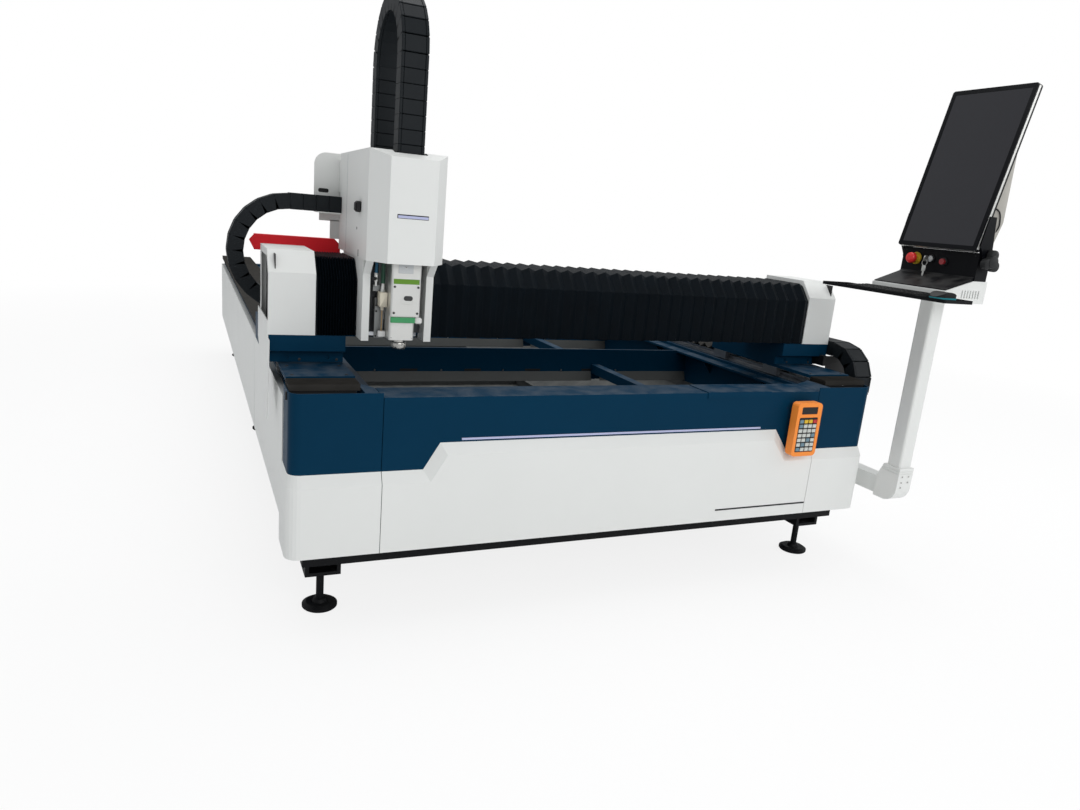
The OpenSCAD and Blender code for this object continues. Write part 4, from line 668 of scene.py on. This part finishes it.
# %% pendant face
PALE, BLUE, YELLOW, RED = range(1, 5)
TOP_ROW = (BLUE, YELLOW, YELLOW, RED)
KEY_ROWS, KEY_X, KEY_Z = 7, 707.4, 513.4
WELL = (-54.9, -53.8)
key_mats = [
    ink, paint("key_pale", (0.62, 0.64, 0.60, 1), rough=0.45, grain=900),
    paint("key_blue", (0.16, 0.26, 0.32, 1), rough=0.45, grain=900),
    paint("key_yellow", (0.78, 0.50, 0.03, 1), grain=900), paint("key_red", (0.55, 0.03, 0.03, 1), grain=900)]
bm = bmesh.new()
span(bm, 704.6, 790.4, *WELL, 509.6, 642.4, 0.2)
span(bm, 710.6, 784.4, *WELL, 655.6, 682.4, 0.2)
for i, top_hue in enumerate(TOP_ROW):
    for j in range(KEY_ROWS):
        hue = top_hue if j == KEY_ROWS - 1 else BLUE if (i * 3 + j * 2) % 5 == 0 else PALE
        x, z = KEY_X + 21 * i, KEY_Z + 18 * j
        span(bm, x, x + 17.2, -58.4, -54.4, z, z + 13.2, 1.2, hue)
pendant_face = piece("pendant_face", bm, key_mats, "pendant")
print(len(pendant_face.data.polygons), "faces on the pendant")

# %% [markdown]
# The cutting head is an anodised block with a screwed cover. It carries a plain green band, a dark oval window,
# four socket screws and, under it, the green lens drawer with its white pull. Screws are a short bevelled disc with
# a thin dark disc on top, painted shade for the socket's hollow, so the second material of a piece with screws is
# always the dark one.

# %% trim on the head
HEAD_FACE, COVER_FACE = 152, 150
FRONT, LEFT = (0, -1, 0), (-1, 0, 0)
SOCKET, BAND, PLATE, WINDOW = range(1, 5)
band_green = paint("band_green", (0.13, 0.30, 0.02, 1), rough=0.35, grain=900, drift=0.1, dust=0.0, relief=0.08)
pull_white = paint("pull_white", (0.74, 0.74, 0.72, 1), rough=0.45, grain=900, drift=0.08, dust=0.0, relief=0.1)
window = paint("window_grey", (0.05, 0.05, 0.05, 1), rough=0.2, grain=900, drift=0.2, dust=0.0, relief=0.05)
silver = mats["head_silver"]


def socket_screw(bm, point, direction, diameter, height=2.0, index=0):
    disc(bm, point, direction, diameter, height, 14, diameter * 0.08, index)
    tip = point + Vector(direction).normalized() * (height - 0.2) * MM
    # the dark disc is painted shade standing for the socket's hollow
    disc(bm, tip, direction, diameter * 0.5, 0.4, 6, index=SOCKET)


def edges_along(verts, axis):
    return [e for e in edges_of(verts) if abs((e.verts[0].co - e.verts[1].co).normalized().dot(axis)) > 0.9]


def pill(bm, x0, x1, y0, y1, z0, z1, index=0):
    middle = at((x0 + x1) / 2, (y0 + y1) / 2, (z0 + z1) / 2)
    made = cuboid(bm, (x1 - x0, y1 - y0, z1 - z0), Matrix.Translation(middle), index)
    soften(bm, edges_along(made, Y), (z1 - z0) * 0.48, 5)


bm = bmesh.new()
span(bm, -781.6, -701.4, HEAD_FACE, HEAD_FACE + 1, 1045.4, 1060.6, 0.2, BAND)
pill(bm, -759.3, -719.7, HEAD_FACE + 0.1, HEAD_FACE + 3, 985.3, 1002.7)
pill(bm, -748.5, -720.5, HEAD_FACE - 0.7, HEAD_FACE + 0.4, 995, 1010, WINDOW)
span(bm, -768, -722, HEAD_FACE - 1.2, HEAD_FACE, 1078, 1106, 0.4, PLATE)
for x in (-778, -705):
    for z in (957, 1037):
        socket_screw(bm, at(x, COVER_FACE, z), FRONT, 7.4, 1.6, WINDOW)
socket_screw(bm, at(-745, HEAD_FACE - 1.2, 1096), FRONT, 6, 1.4)
for x in (-781, -717):
    socket_screw(bm, at(x, 160, 879), FRONT, 5, 1.2)
piece("head_trim", bm, [silver, ink, band_green, mats["plate_grey"], window], "head", 40)
bm = bmesh.new()
span(bm, -788, -712, 144.4, 151.4, 927.4, 944.2, 1)
piece("drawer_front", bm, mats["drawer_green"], "lens_drawer")
bm = bmesh.new()
span(bm, -711.8, -690, 142, 157.5, 925.5, 944.5, 4)
piece("drawer_pull", bm, pull_white, "lens_drawer")
print("head trim done")

# %% [markdown]
# The nozzle hangs from the head by a wide slotted nut. It is turned work, so half of its section is drawn as a
# closed line beside the axis and spun once round; small ribs on the nut give the fingers a grip.

# %% turned nozzle
NUT_R, NUT_RIBS, BORE_R, LENGTH = 22.4, 16, 1.5, 34
tip = at(-749, 192, 871)
section = [(BORE_R, 0), (18.5, 0), (18.5, -9), (21, -10), (NUT_R, -12), (NUT_R, -28), (20.5, -31), (12, -31.5),
           (6, -LENGTH), (BORE_R, -LENGTH)]
bm = bmesh.new()
ring = [bm.verts.new(tip + Vector((r * MM, 0, z * MM))) for r, z in section]
loop = [bm.edges.new(pair) for pair in zip(ring, ring[1:] + ring[:1])]
bmesh.ops.spin(bm, geom=ring + loop, cent=tip, axis=Z, angle=2 * math.pi, steps=40, use_merge=True)
for i in range(NUT_RIBS):
    grip = Matrix.Translation(tip) @ Matrix.Rotation(2 * math.pi * i / NUT_RIBS, 4, "Z")
    block(bm, (2.4, 5, 12), grip @ Matrix.Translation((NUT_R * MM, 0, -20 * MM)), 0.5)
nozzle = piece("nozzle_nut", bm, mats["nozzle_silver"], "head", 40)
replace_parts(nozzle, "nozzle")
print(len(nozzle.data.polygons), "faces on the nozzle")

# %% [markdown]
# Left of the head sits the small height sensor, a moulded box with a gland on top and a wire to the nozzle below.
# It is the CAD's box, moved by a few millimetres. Beside it an air valve is screwed together from turned fittings,
# so each of those is a disc with a softened rim.

# %% sensor and its fittings
GLAND_X, GLAND_Y = -800.5, 212
VALVE_X, VALVE_Y = -821, 217
OUTLET = (-0.5, -0.86, 0)
GREY, TERMINAL = 2, 3
bm = copy_of("sensor_box")
bmesh.ops.translate(bm, verts=bm.verts, vec=(8 * MM, 0, -7 * MM))
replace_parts(piece("sensor", bm, mats["sensor_beige"], "head", 40), "sensor_box")
bm = bmesh.new()
disc(bm, at(GLAND_X, GLAND_Y, 1013), Z, 15, 8, 6, 0.6)
disc(bm, at(GLAND_X, GLAND_Y, 1021), Z, 12, 9)
disc(bm, at(GLAND_X, GLAND_Y, 1030), Z, 11, 9, top=9)
disc(bm, at(VALVE_X, VALVE_Y, 1044), Z, 13, 20, soft=0.8)
disc(bm, at(VALVE_X, VALVE_Y, 1064), Z, 14, 6, 6, 0.5)
disc(bm, at(VALVE_X, VALVE_Y, 1053), OUTLET, 11, 17)
disc(bm, at(VALVE_X - 8.5, VALVE_Y - 14.6, 1053), OUTLET, 12, 7, soft=1, index=SOCKET)
disc(bm, at(VALVE_X, VALVE_Y, 1030), Z, 8, 15, 16)
span(bm, -828, -793.5, 226, 232, 1012, 1032, 0.6, GREY)
span(bm, -820, -791, 228, 232, 866, 965, 0.6, GREY)
span(bm, -812, -790, 198, 214, 874, 892, 1.5, TERMINAL)
for z in (950, 872):
    socket_screw(bm, at(-815, 228, z), FRONT, 6, 3, SOCKET)
piece("sensor_fittings", bm, [silver, ink, mats["plate_mid"], pull_white], "head", 40)
print("fittings done")

# %% [markdown]
# The carriage hood has a narrow display bar let into its front, a black plug for the service cable on its left
# side, a small hole under it and a slot where the side sheet is hooked on; the hole and the slot are dark patches
# painted as the shade inside them. A thin shadow gap shows where the front half of the hood meets the rear half,
# and a thin dark sheet just behind the chain plate is painted shade.

# %% trim on the hood
HOOD_SIDE = -863.6
LIT, SEAM = 1, 2
bm = bmesh.new()
span(bm, -793, -699, 94.2, 95.4, 1241, 1253, 0.3)
span(bm, -791, -700, 93.4, 95, 1242.4, 1250, 0.4, LIT)
span(bm, -877, -864, 262, 302, 1246, 1279, 3)
span(bm, -881, -876, 268, 296, 1250, 1275, 2)
# the hole and the side-sheet slot below are flat dark patches, painted shade
disc(bm, at(HOOD_SIDE, 324, 1196), LEFT, 9, 0.8, 16)
span(bm, HOOD_SIDE - 1.2, HOOD_SIDE, 290, 295, 1111, 1132, 0.2)
span(bm, HOOD_SIDE - 1, HOOD_SIDE, 505, 508, 1112, 1424, 0.2, SEAM)
# a thin dark sheet behind the chain plate, painted shade
span(bm, -934, -892, 690.4, 692.4, 1292, 1312, 0.3)
piece("hood_trim", bm, [ink, frost, mats["plate_grey"]], "carriage", 40)
print("hood trim done")

# %% [markdown]
# The hood's roof is nearly level and only its nose falls away to the front. The CAD draws one even fall, so a copy
# of its sheet is cut across where the nose starts and the points of the roof are lifted to the folded line. The
# sheet behind the cable chain is trimmed in the same way, and the two legs get the leaning flanges that carry them
# into the hood.

# %% hood roof, chain plate and leg flanges
HOOD_FRONT, NOSE_END, HOOD_BACK = 95, 170, 640
ROOF_POINTS = 1400 * MM
CHAIN_SHEET = (684.2, 689.8)
white_paint = mats["white_paint"]
bm = copy_of("carriage_cover")
bmesh.ops.bisect_plane(bm, geom=bm.verts[:] + bm.edges[:] + bm.faces[:], plane_co=at(0, NOSE_END, 0), plane_no=Y)
for v in (v for v in bm.verts if v.co.z > ROOF_POINTS):
    y = (v.co.y - FRONT_Y) / MM
    even = 1414 + 21 * (y - HOOD_FRONT) / (HOOD_BACK - HOOD_FRONT)
    nose = 1412 + 21 * (y - HOOD_FRONT) / (NOSE_END - HOOD_FRONT)
    level_roof = 1433 - 4 * (y - NOSE_END) / (HOOD_BACK - NOSE_END)
    v.co.z += ((nose if y < NOSE_END else level_roof) - even) * MM
hood = piece("hood", bm, white_paint, "carriage")
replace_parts(hood, "carriage_cover")
bm = copy_of("chain_bracket")
bmesh.ops.translate(bm, verts=[v for v in bm.verts if v.co.z > ROOF_POINTS], vec=(0, 0, -16 * MM))
span(bm, -888, -836, *CHAIN_SHEET, 1139, 1204, 0.6)
span(bm, -926, -836, *CHAIN_SHEET, 1200, 1229, 0.6)
chain_plate = piece("chain_plate", bm, white_paint, "carriage")
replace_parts(chain_plate, "chain_bracket")
bm = bmesh.new()
for x in (-849.5, -649.5):
    slant = Matrix.Translation(at(x, 199, 1088)) @ Matrix.Rotation(math.atan2(42, 44), 4, "X")
    block(bm, (23, 3, 60), slant, 0.6)
piece("leg_flanges", bm, white_paint, "carriage")
print("hood faces", len(hood.data.polygons))

# %% [markdown]
# The console has an emergency stop with a yellow collar, a key switch with a metal ring and a start button. The key
# in the lock has a round bow, and its spare hangs from it on a ring of short bent links. The knob that clamps the
# screen has three lobes, which are three softened discs round a fourth.

# %% rings, keys and knob of the console
PANEL = 1215
LOCK_Y, LOCK_Z = -54, 1253
RING_X, RING_Z, RING_R, RING_STEPS = 1182, 1237, 11, 20
KNOB_X, KNOB_Z, LOBES = 1245, 1262, 3
bm = bmesh.new()
disc(bm, at(PANEL, 15, 1250), LEFT, 46, 4, 28, 0.8)
disc(bm, at(PANEL - 4, 15, 1250), LEFT, 36, 8, 28, top=30)
disc(bm, at(PANEL, LOCK_Y, LOCK_Z), LEFT, 31, 5, 24, 0.8, SOCKET)
disc(bm, at(PANEL, -110, 1247), LEFT, 32, 5, 24, 0.8, SOCKET)
for y in (-236, 66):
    for z in (1202, 1278):
        socket_screw(bm, at(PANEL, y, z), LEFT, 6, 1.4, SOCKET)
piece("panel_rings", bm, [key_mats[YELLOW], ink], "console", 40)
bm = bmesh.new()
disc(bm, at(PANEL - 8, LOCK_Y, LOCK_Z), LEFT, 19, 1.6, soft=0.4)
disc(bm, at(1186, LOCK_Y - 1.5, LOCK_Z), Y, 24, 3, 24, 0.6)
piece("key_bow", bm, silver, "key", 40)
bm = bmesh.new()
for i in range(RING_STEPS):
    a = 2 * math.pi * i / RING_STEPS
    on_ring = at(RING_X, LOCK_Y + RING_R * math.sin(a), RING_Z + RING_R * math.cos(a))
    block(bm, (1.8, 3.8, 1.8), Matrix.Translation(on_ring) @ Matrix.Rotation(-a, 4, "X"), 0.4)
block(bm, (2.2, 17, 20), Matrix.Translation(at(RING_X, LOCK_Y, 1216)))
block(bm, (2.2, 7, 26), Matrix.Translation(at(RING_X, LOCK_Y, 1195)), 0.6)
piece("spare_key", bm, silver, "console", 40)
bm = bmesh.new()
disc(bm, at(KNOB_X, -262, KNOB_Z), FRONT, 28, 6, 24)
disc(bm, at(KNOB_X, -267, KNOB_Z), FRONT, 46, 22, 28, 2)
for i in range(LOBES):
    a = math.radians(80) + 2 * math.pi * i / LOBES
    disc(bm, at(KNOB_X + 23 * math.cos(a), -266, KNOB_Z + 23 * math.sin(a)), FRONT, 38, 21, 24, 4)
knob = piece("tilt_knob", bm, mats["key_black"], "tilt_clamp", 40)
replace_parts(knob, "tilt_clamp")
print("console fittings done")

# %% [markdown]
# The screen's rim is a thin bright strip along its sides, and its casing is a wedge drawn from the side and pushed
# across, in a darkened grey-beige that is painted shade, with a row of dark vents that are painted shade for their
# openings. Both lean back with the screen, so they are laid out on an upright screen and turned by its angle. The
# mouse on the tray has a coloured skirt.

# %% screen and mouse
lean = Matrix.Translation(at(1181, -85, 1296)) @ Matrix.Rotation(math.radians(13.4), 4, "Y")
CASE_SIDE = ((24, 24), (60, 26), (84, 44), (94, 130), (24, 392))
CASE_HALF, VENTS, VENT = 164, 8, 1


def on_screen(x, y, z):
    return lean @ Matrix.Translation((x * MM, y * MM, z * MM))


bm = bmesh.new()
for side in (-1, 1):
    block(bm, (10, 1.4, 580), on_screen(10, side * 170.2, 297), 0.4)
for high in (-0.2, 594.2):
    block(bm, (10, 326, 1.4), on_screen(10, 0, high), 0.4)
piece("screen_rim", bm, silver, "monitor")
bm = bmesh.new()
side_face = bm.faces.new([bm.verts.new(on_screen(x, -CASE_HALF, z).to_translation()) for x, z in CASE_SIDE])
pushed = bmesh.ops.extrude_face_region(bm, geom=[side_face])["geom"]
far_side = [g for g in pushed if isinstance(g, bmesh.types.BMVert)]
bmesh.ops.translate(bm, verts=far_side, vec=(0, 2 * CASE_HALF * MM, 0))
soften(bm, bm.edges[:], 2.5, 2)
block(bm, (3, 290, 460), on_screen(25.4, 0, 315))
slope = Matrix.Rotation(math.atan2(-70, 262), 4, "Y")
# the vents are dark blocks, painted shade for their openings
for i in range(VENTS):
    block(bm, (2, 16, 60), on_screen(59, (i - (VENTS - 1) / 2) * 26, 262) @ slope, 0.4, VENT)
screen_case = piece("screen_case", bm, [mats["monitor_white"], ink], "monitor", 30)
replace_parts(screen_case, "monitor_back")
bm = bmesh.new()
made = cuboid(bm, (99, 59, 5), Matrix.Translation(at(1014, -299, 1129.5)))
soften(bm, edges_along(made, Z), 28, 6)
teal = paint("teal_rim", (0.02, 0.30, 0.36, 1), rough=0.35, grain=900)
piece("mouse_skirt", bm, teal, "console", 40)
print(len(screen_case.data.polygons), "faces on the screen's casing")

# %% [markdown]
# Hoses and cables leave a fitting straight, bend gently and go back into the machine. Each is one open curve
# with a round bevel, smoothed through a few given points. The two air hoses ride with the head and reach
# far enough into the hood that they still end inside it when the head is down. The cable behind the screen stays
# on the screen when that tilts.

# %% hoses and cables
STEPS = 7


def cable(name, corners, diameter, material, body):
    line = []
    pts = [corners[0], *corners, corners[-1]]
    for a, b, c, d in zip(pts, pts[1:], pts[2:], pts[3:]):
        for t in (k / STEPS for k in range(STEPS)):
            line.append(0.5 * (2 * b + (c - a) * t + (2 * a - 5 * b + 4 * c - d) * t * t
                               + (3 * b - a - 3 * c + d) * t * t * t))
    line.append(corners[-1])
    data = bpy.data.curves.new(name, "CURVE")
    data.dimensions = "3D"
    data.bevel_depth = diameter / 2
    data.bevel_resolution = 3
    data.use_fill_caps = True
    spline = data.splines.new("POLY")
    spline.points.add(len(line) - 1)
    for p, q in zip(spline.points, line):
        p.co = (*q, 1)
    data.materials.append(material)
    obj = bpy.data.objects.new(name, data)
    scene.collection.objects.link(obj)
    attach(obj, body)
    length = sum((b - a).length for a, b in zip(line, line[1:]))
    return length


HOSE = dict(rough=0.35, grain=600, drift=0.15, dust=0.0, relief=0.05, clear=0.2)
hose_blue = paint("hose_blue", (0.005, 0.09, 0.17, 1), **HOSE)
hose_green = paint("hose_green", (0.005, 0.06, 0.03, 1), **HOSE)
wire_tan = paint("wire_tan", (0.42, 0.27, 0.13, 1), rough=0.55, grain=1500, drift=0.3, dust=0.0, relief=0.3)
blue_route = ((-821, 217, 1070), (-821, 217, 1115), (-823, 215, 1165), (-824, 214, 1230))
green_route = ((-800.5, 212, 1039), (-800.5, 212, 1098), (-803, 211, 1160), (-804, 210, 1230))
wire_route = ((-800.5, 212, 956), (-800.5, 212, 940), (-801, 209.5, 916), (-802, 207, 892))
case_route = ((28, -162, 160), (34, -167.4, 159), (52, -168, 152), (66, -168, 132), (73, -167.6, 108), (73, -161, 86))
total = cable("hose_blue", [at(*p) for p in blue_route], 0.010, hose_blue, "head")
total += cable("hose_green", [at(*p) for p in green_route], 0.013, hose_green, "head")
total += cable("sensor_wire", [at(*p) for p in wire_route], 0.0035, wire_tan, "head")
on_case = [on_screen(*p).to_translation() for p in case_route]
total += cable("screen_cable", on_case, 0.005, ink, "monitor")
print("cables", round(total, 3), "m")

# %% [markdown]
# Scrap that slides down the chutes ends in shallow pans between the ties of the bed. Each is a sheet folded up on
# four sides: a box without its lid gets a wall thickness, and a lip hangs it on each tie of the frame.

# %% scrap pans
PANS = ((121, 1058), (1142, 2158), (2242, 3258), (3342, 4279))
PAN_W, PAN_FLOOR, PAN_RIM = 990, 250, 304
bm = bmesh.new()
for y0, y1 in PANS:
    middle = at(0, (y0 + y1) / 2, (PAN_FLOOR + PAN_RIM) / 2)
    made = cuboid(bm, (PAN_W, y1 - y0, PAN_RIM - PAN_FLOOR), Matrix.Translation(middle))
    lid = [f for f in faces_of(made) if f.calc_center_median().z > (PAN_RIM - 1) * MM]
    bmesh.ops.delete(bm, geom=lid, context="FACES_ONLY")
    bmesh.ops.solidify(bm, geom=faces_of(made), thickness=2 * MM)
ends = [y for pan in PANS for y in pan]
for y in ends[1:-1]:
    span(bm, -474, 474, y - 15, y + 15, PAN_RIM + 0.1, PAN_RIM + 1.9, 0.4)
pans = piece("scrap_pans", bm, mats["scrap_grey"], "bed")
print(len(pans.data.polygons), "faces in the scrap pans")

# %% [markdown]
# The walls across the trough are notched for the slats that carry a sheet. Blanking strips close the notches from
# behind when the slats are out, and a dull apron hangs under each wall to throw scrap onto the chutes. Dark slots,
# painted shade for the openings, mark where the apron hooks into its wall. A dark strip, painted shade, closes the
# gap under the front edge of each way cover.

# %% aprons and blanking strips on the trough walls
WALLS, WALL_START, WALL_PITCH = 4, 130, 828
APRONS = ((-878, 358), (402, 878))
APRON_LEAN = Matrix.Rotation(-math.atan2(16, 42), 4, "X")
DULL, PAINTED_SHADE, STEEL = 1, 2, 3
bm = bmesh.new()
for wall in (WALL_START + WALL_PITCH * (k + 1) for k in range(WALLS)):
    for x in range(-780, 781, 120):
        span(bm, x - 34.8, x + 34.8, wall + 3, wall + 7, 560.4, 585.8, 0.2)
    for x0, x1 in APRONS:
        block(bm, (x1 - x0, 2, 44), Matrix.Translation(at((x0 + x1) / 2, wall - 9, 577)) @ APRON_LEAN, 0.4, DULL)
    for x in range(-830, 340, 285):
        # dark slot marks, painted shade for the openings in the wall
        span(bm, x, x + 76, wall - 0.6, wall + 0.4, 599, 609, 0.2, PAINTED_SHADE)
        disc(bm, at(x + 180, wall, 604), FRONT, 9, 3, 12, index=STEEL)
# dark strips under the way covers, painted shade in the gap
for x in (-1005, 1005):
    span(bm, x - 100, x + 100, 42, 46, 715, 739.5, 0.4, PAINTED_SHADE)
wall_mats = [mats["navy_paint"], mats["scrap_grey"], ink, mats["ground_steel"]]
aprons = piece("trough_aprons", bm, wall_mats, "bed")
print(len(aprons.data.polygons), "faces on the trough walls")

# %% [markdown]
# Bolts tell the eye how big a machine is. Socket screws hold the rail plates under the gantry, the end caps and
# the elbow of the console's arm. They are all the same recipe at different sizes. A black plate closes the open
# outer side of each end cap, as painted shade for the cap's hollow, and a dark sheet inside the loop of the long
# chain ties it to the right saddle.

# %% fasteners
PLATE_TOP, SADDLE_FACE, CAP_SIDE, ELBOW_FACE = 764, 302, 1128, -125
bm = bmesh.new()
for side in (-1, 1):
    for x in (915, 1075):
        for y in (150, 280):
            socket_screw(bm, at(side * x, y, PLATE_TOP), Z, 11, 1.6)
    for x in (920, 1035):
        socket_screw(bm, at(side * x, SADDLE_FACE, 780), FRONT, 9)
    for y in (330, 430, 530):
        socket_screw(bm, at(side * CAP_SIDE, y, 875), (side, 0, 0), 8)
    # a black plate inside the open end cap, painted shade for its hollow
    block(bm, (3, 270, 236), Matrix.Translation(at(side * (CAP_SIDE - 20), 445, 985)), 0.6, SOCKET)
span(bm, 1110, 1226, 275, 278, 640, 812, 0.6, SOCKET)
span(bm, 1093, 1112, 275, 340, 769, 812, 0.6, SOCKET)
gantry_bolts = piece("gantry_bolts", bm, [mats["motor_black"], ink], "gantry", 40)
bm = bmesh.new()
for x, z in ((1212, 406), (1246, 406), (1212, 382), (1246, 382), (1212, 361)):
    socket_screw(bm, at(x, ELBOW_FACE, z), FRONT, 8, 2.4)
piece("elbow_bolts", bm, [silver, ink], "arm", 40)
print(len(gantry_bolts.data.polygons), "faces of bolts on the gantry")

# %% [markdown]
# Last, the view layer is brought up to date.

# %% finish
bpy.context.view_layer.update()
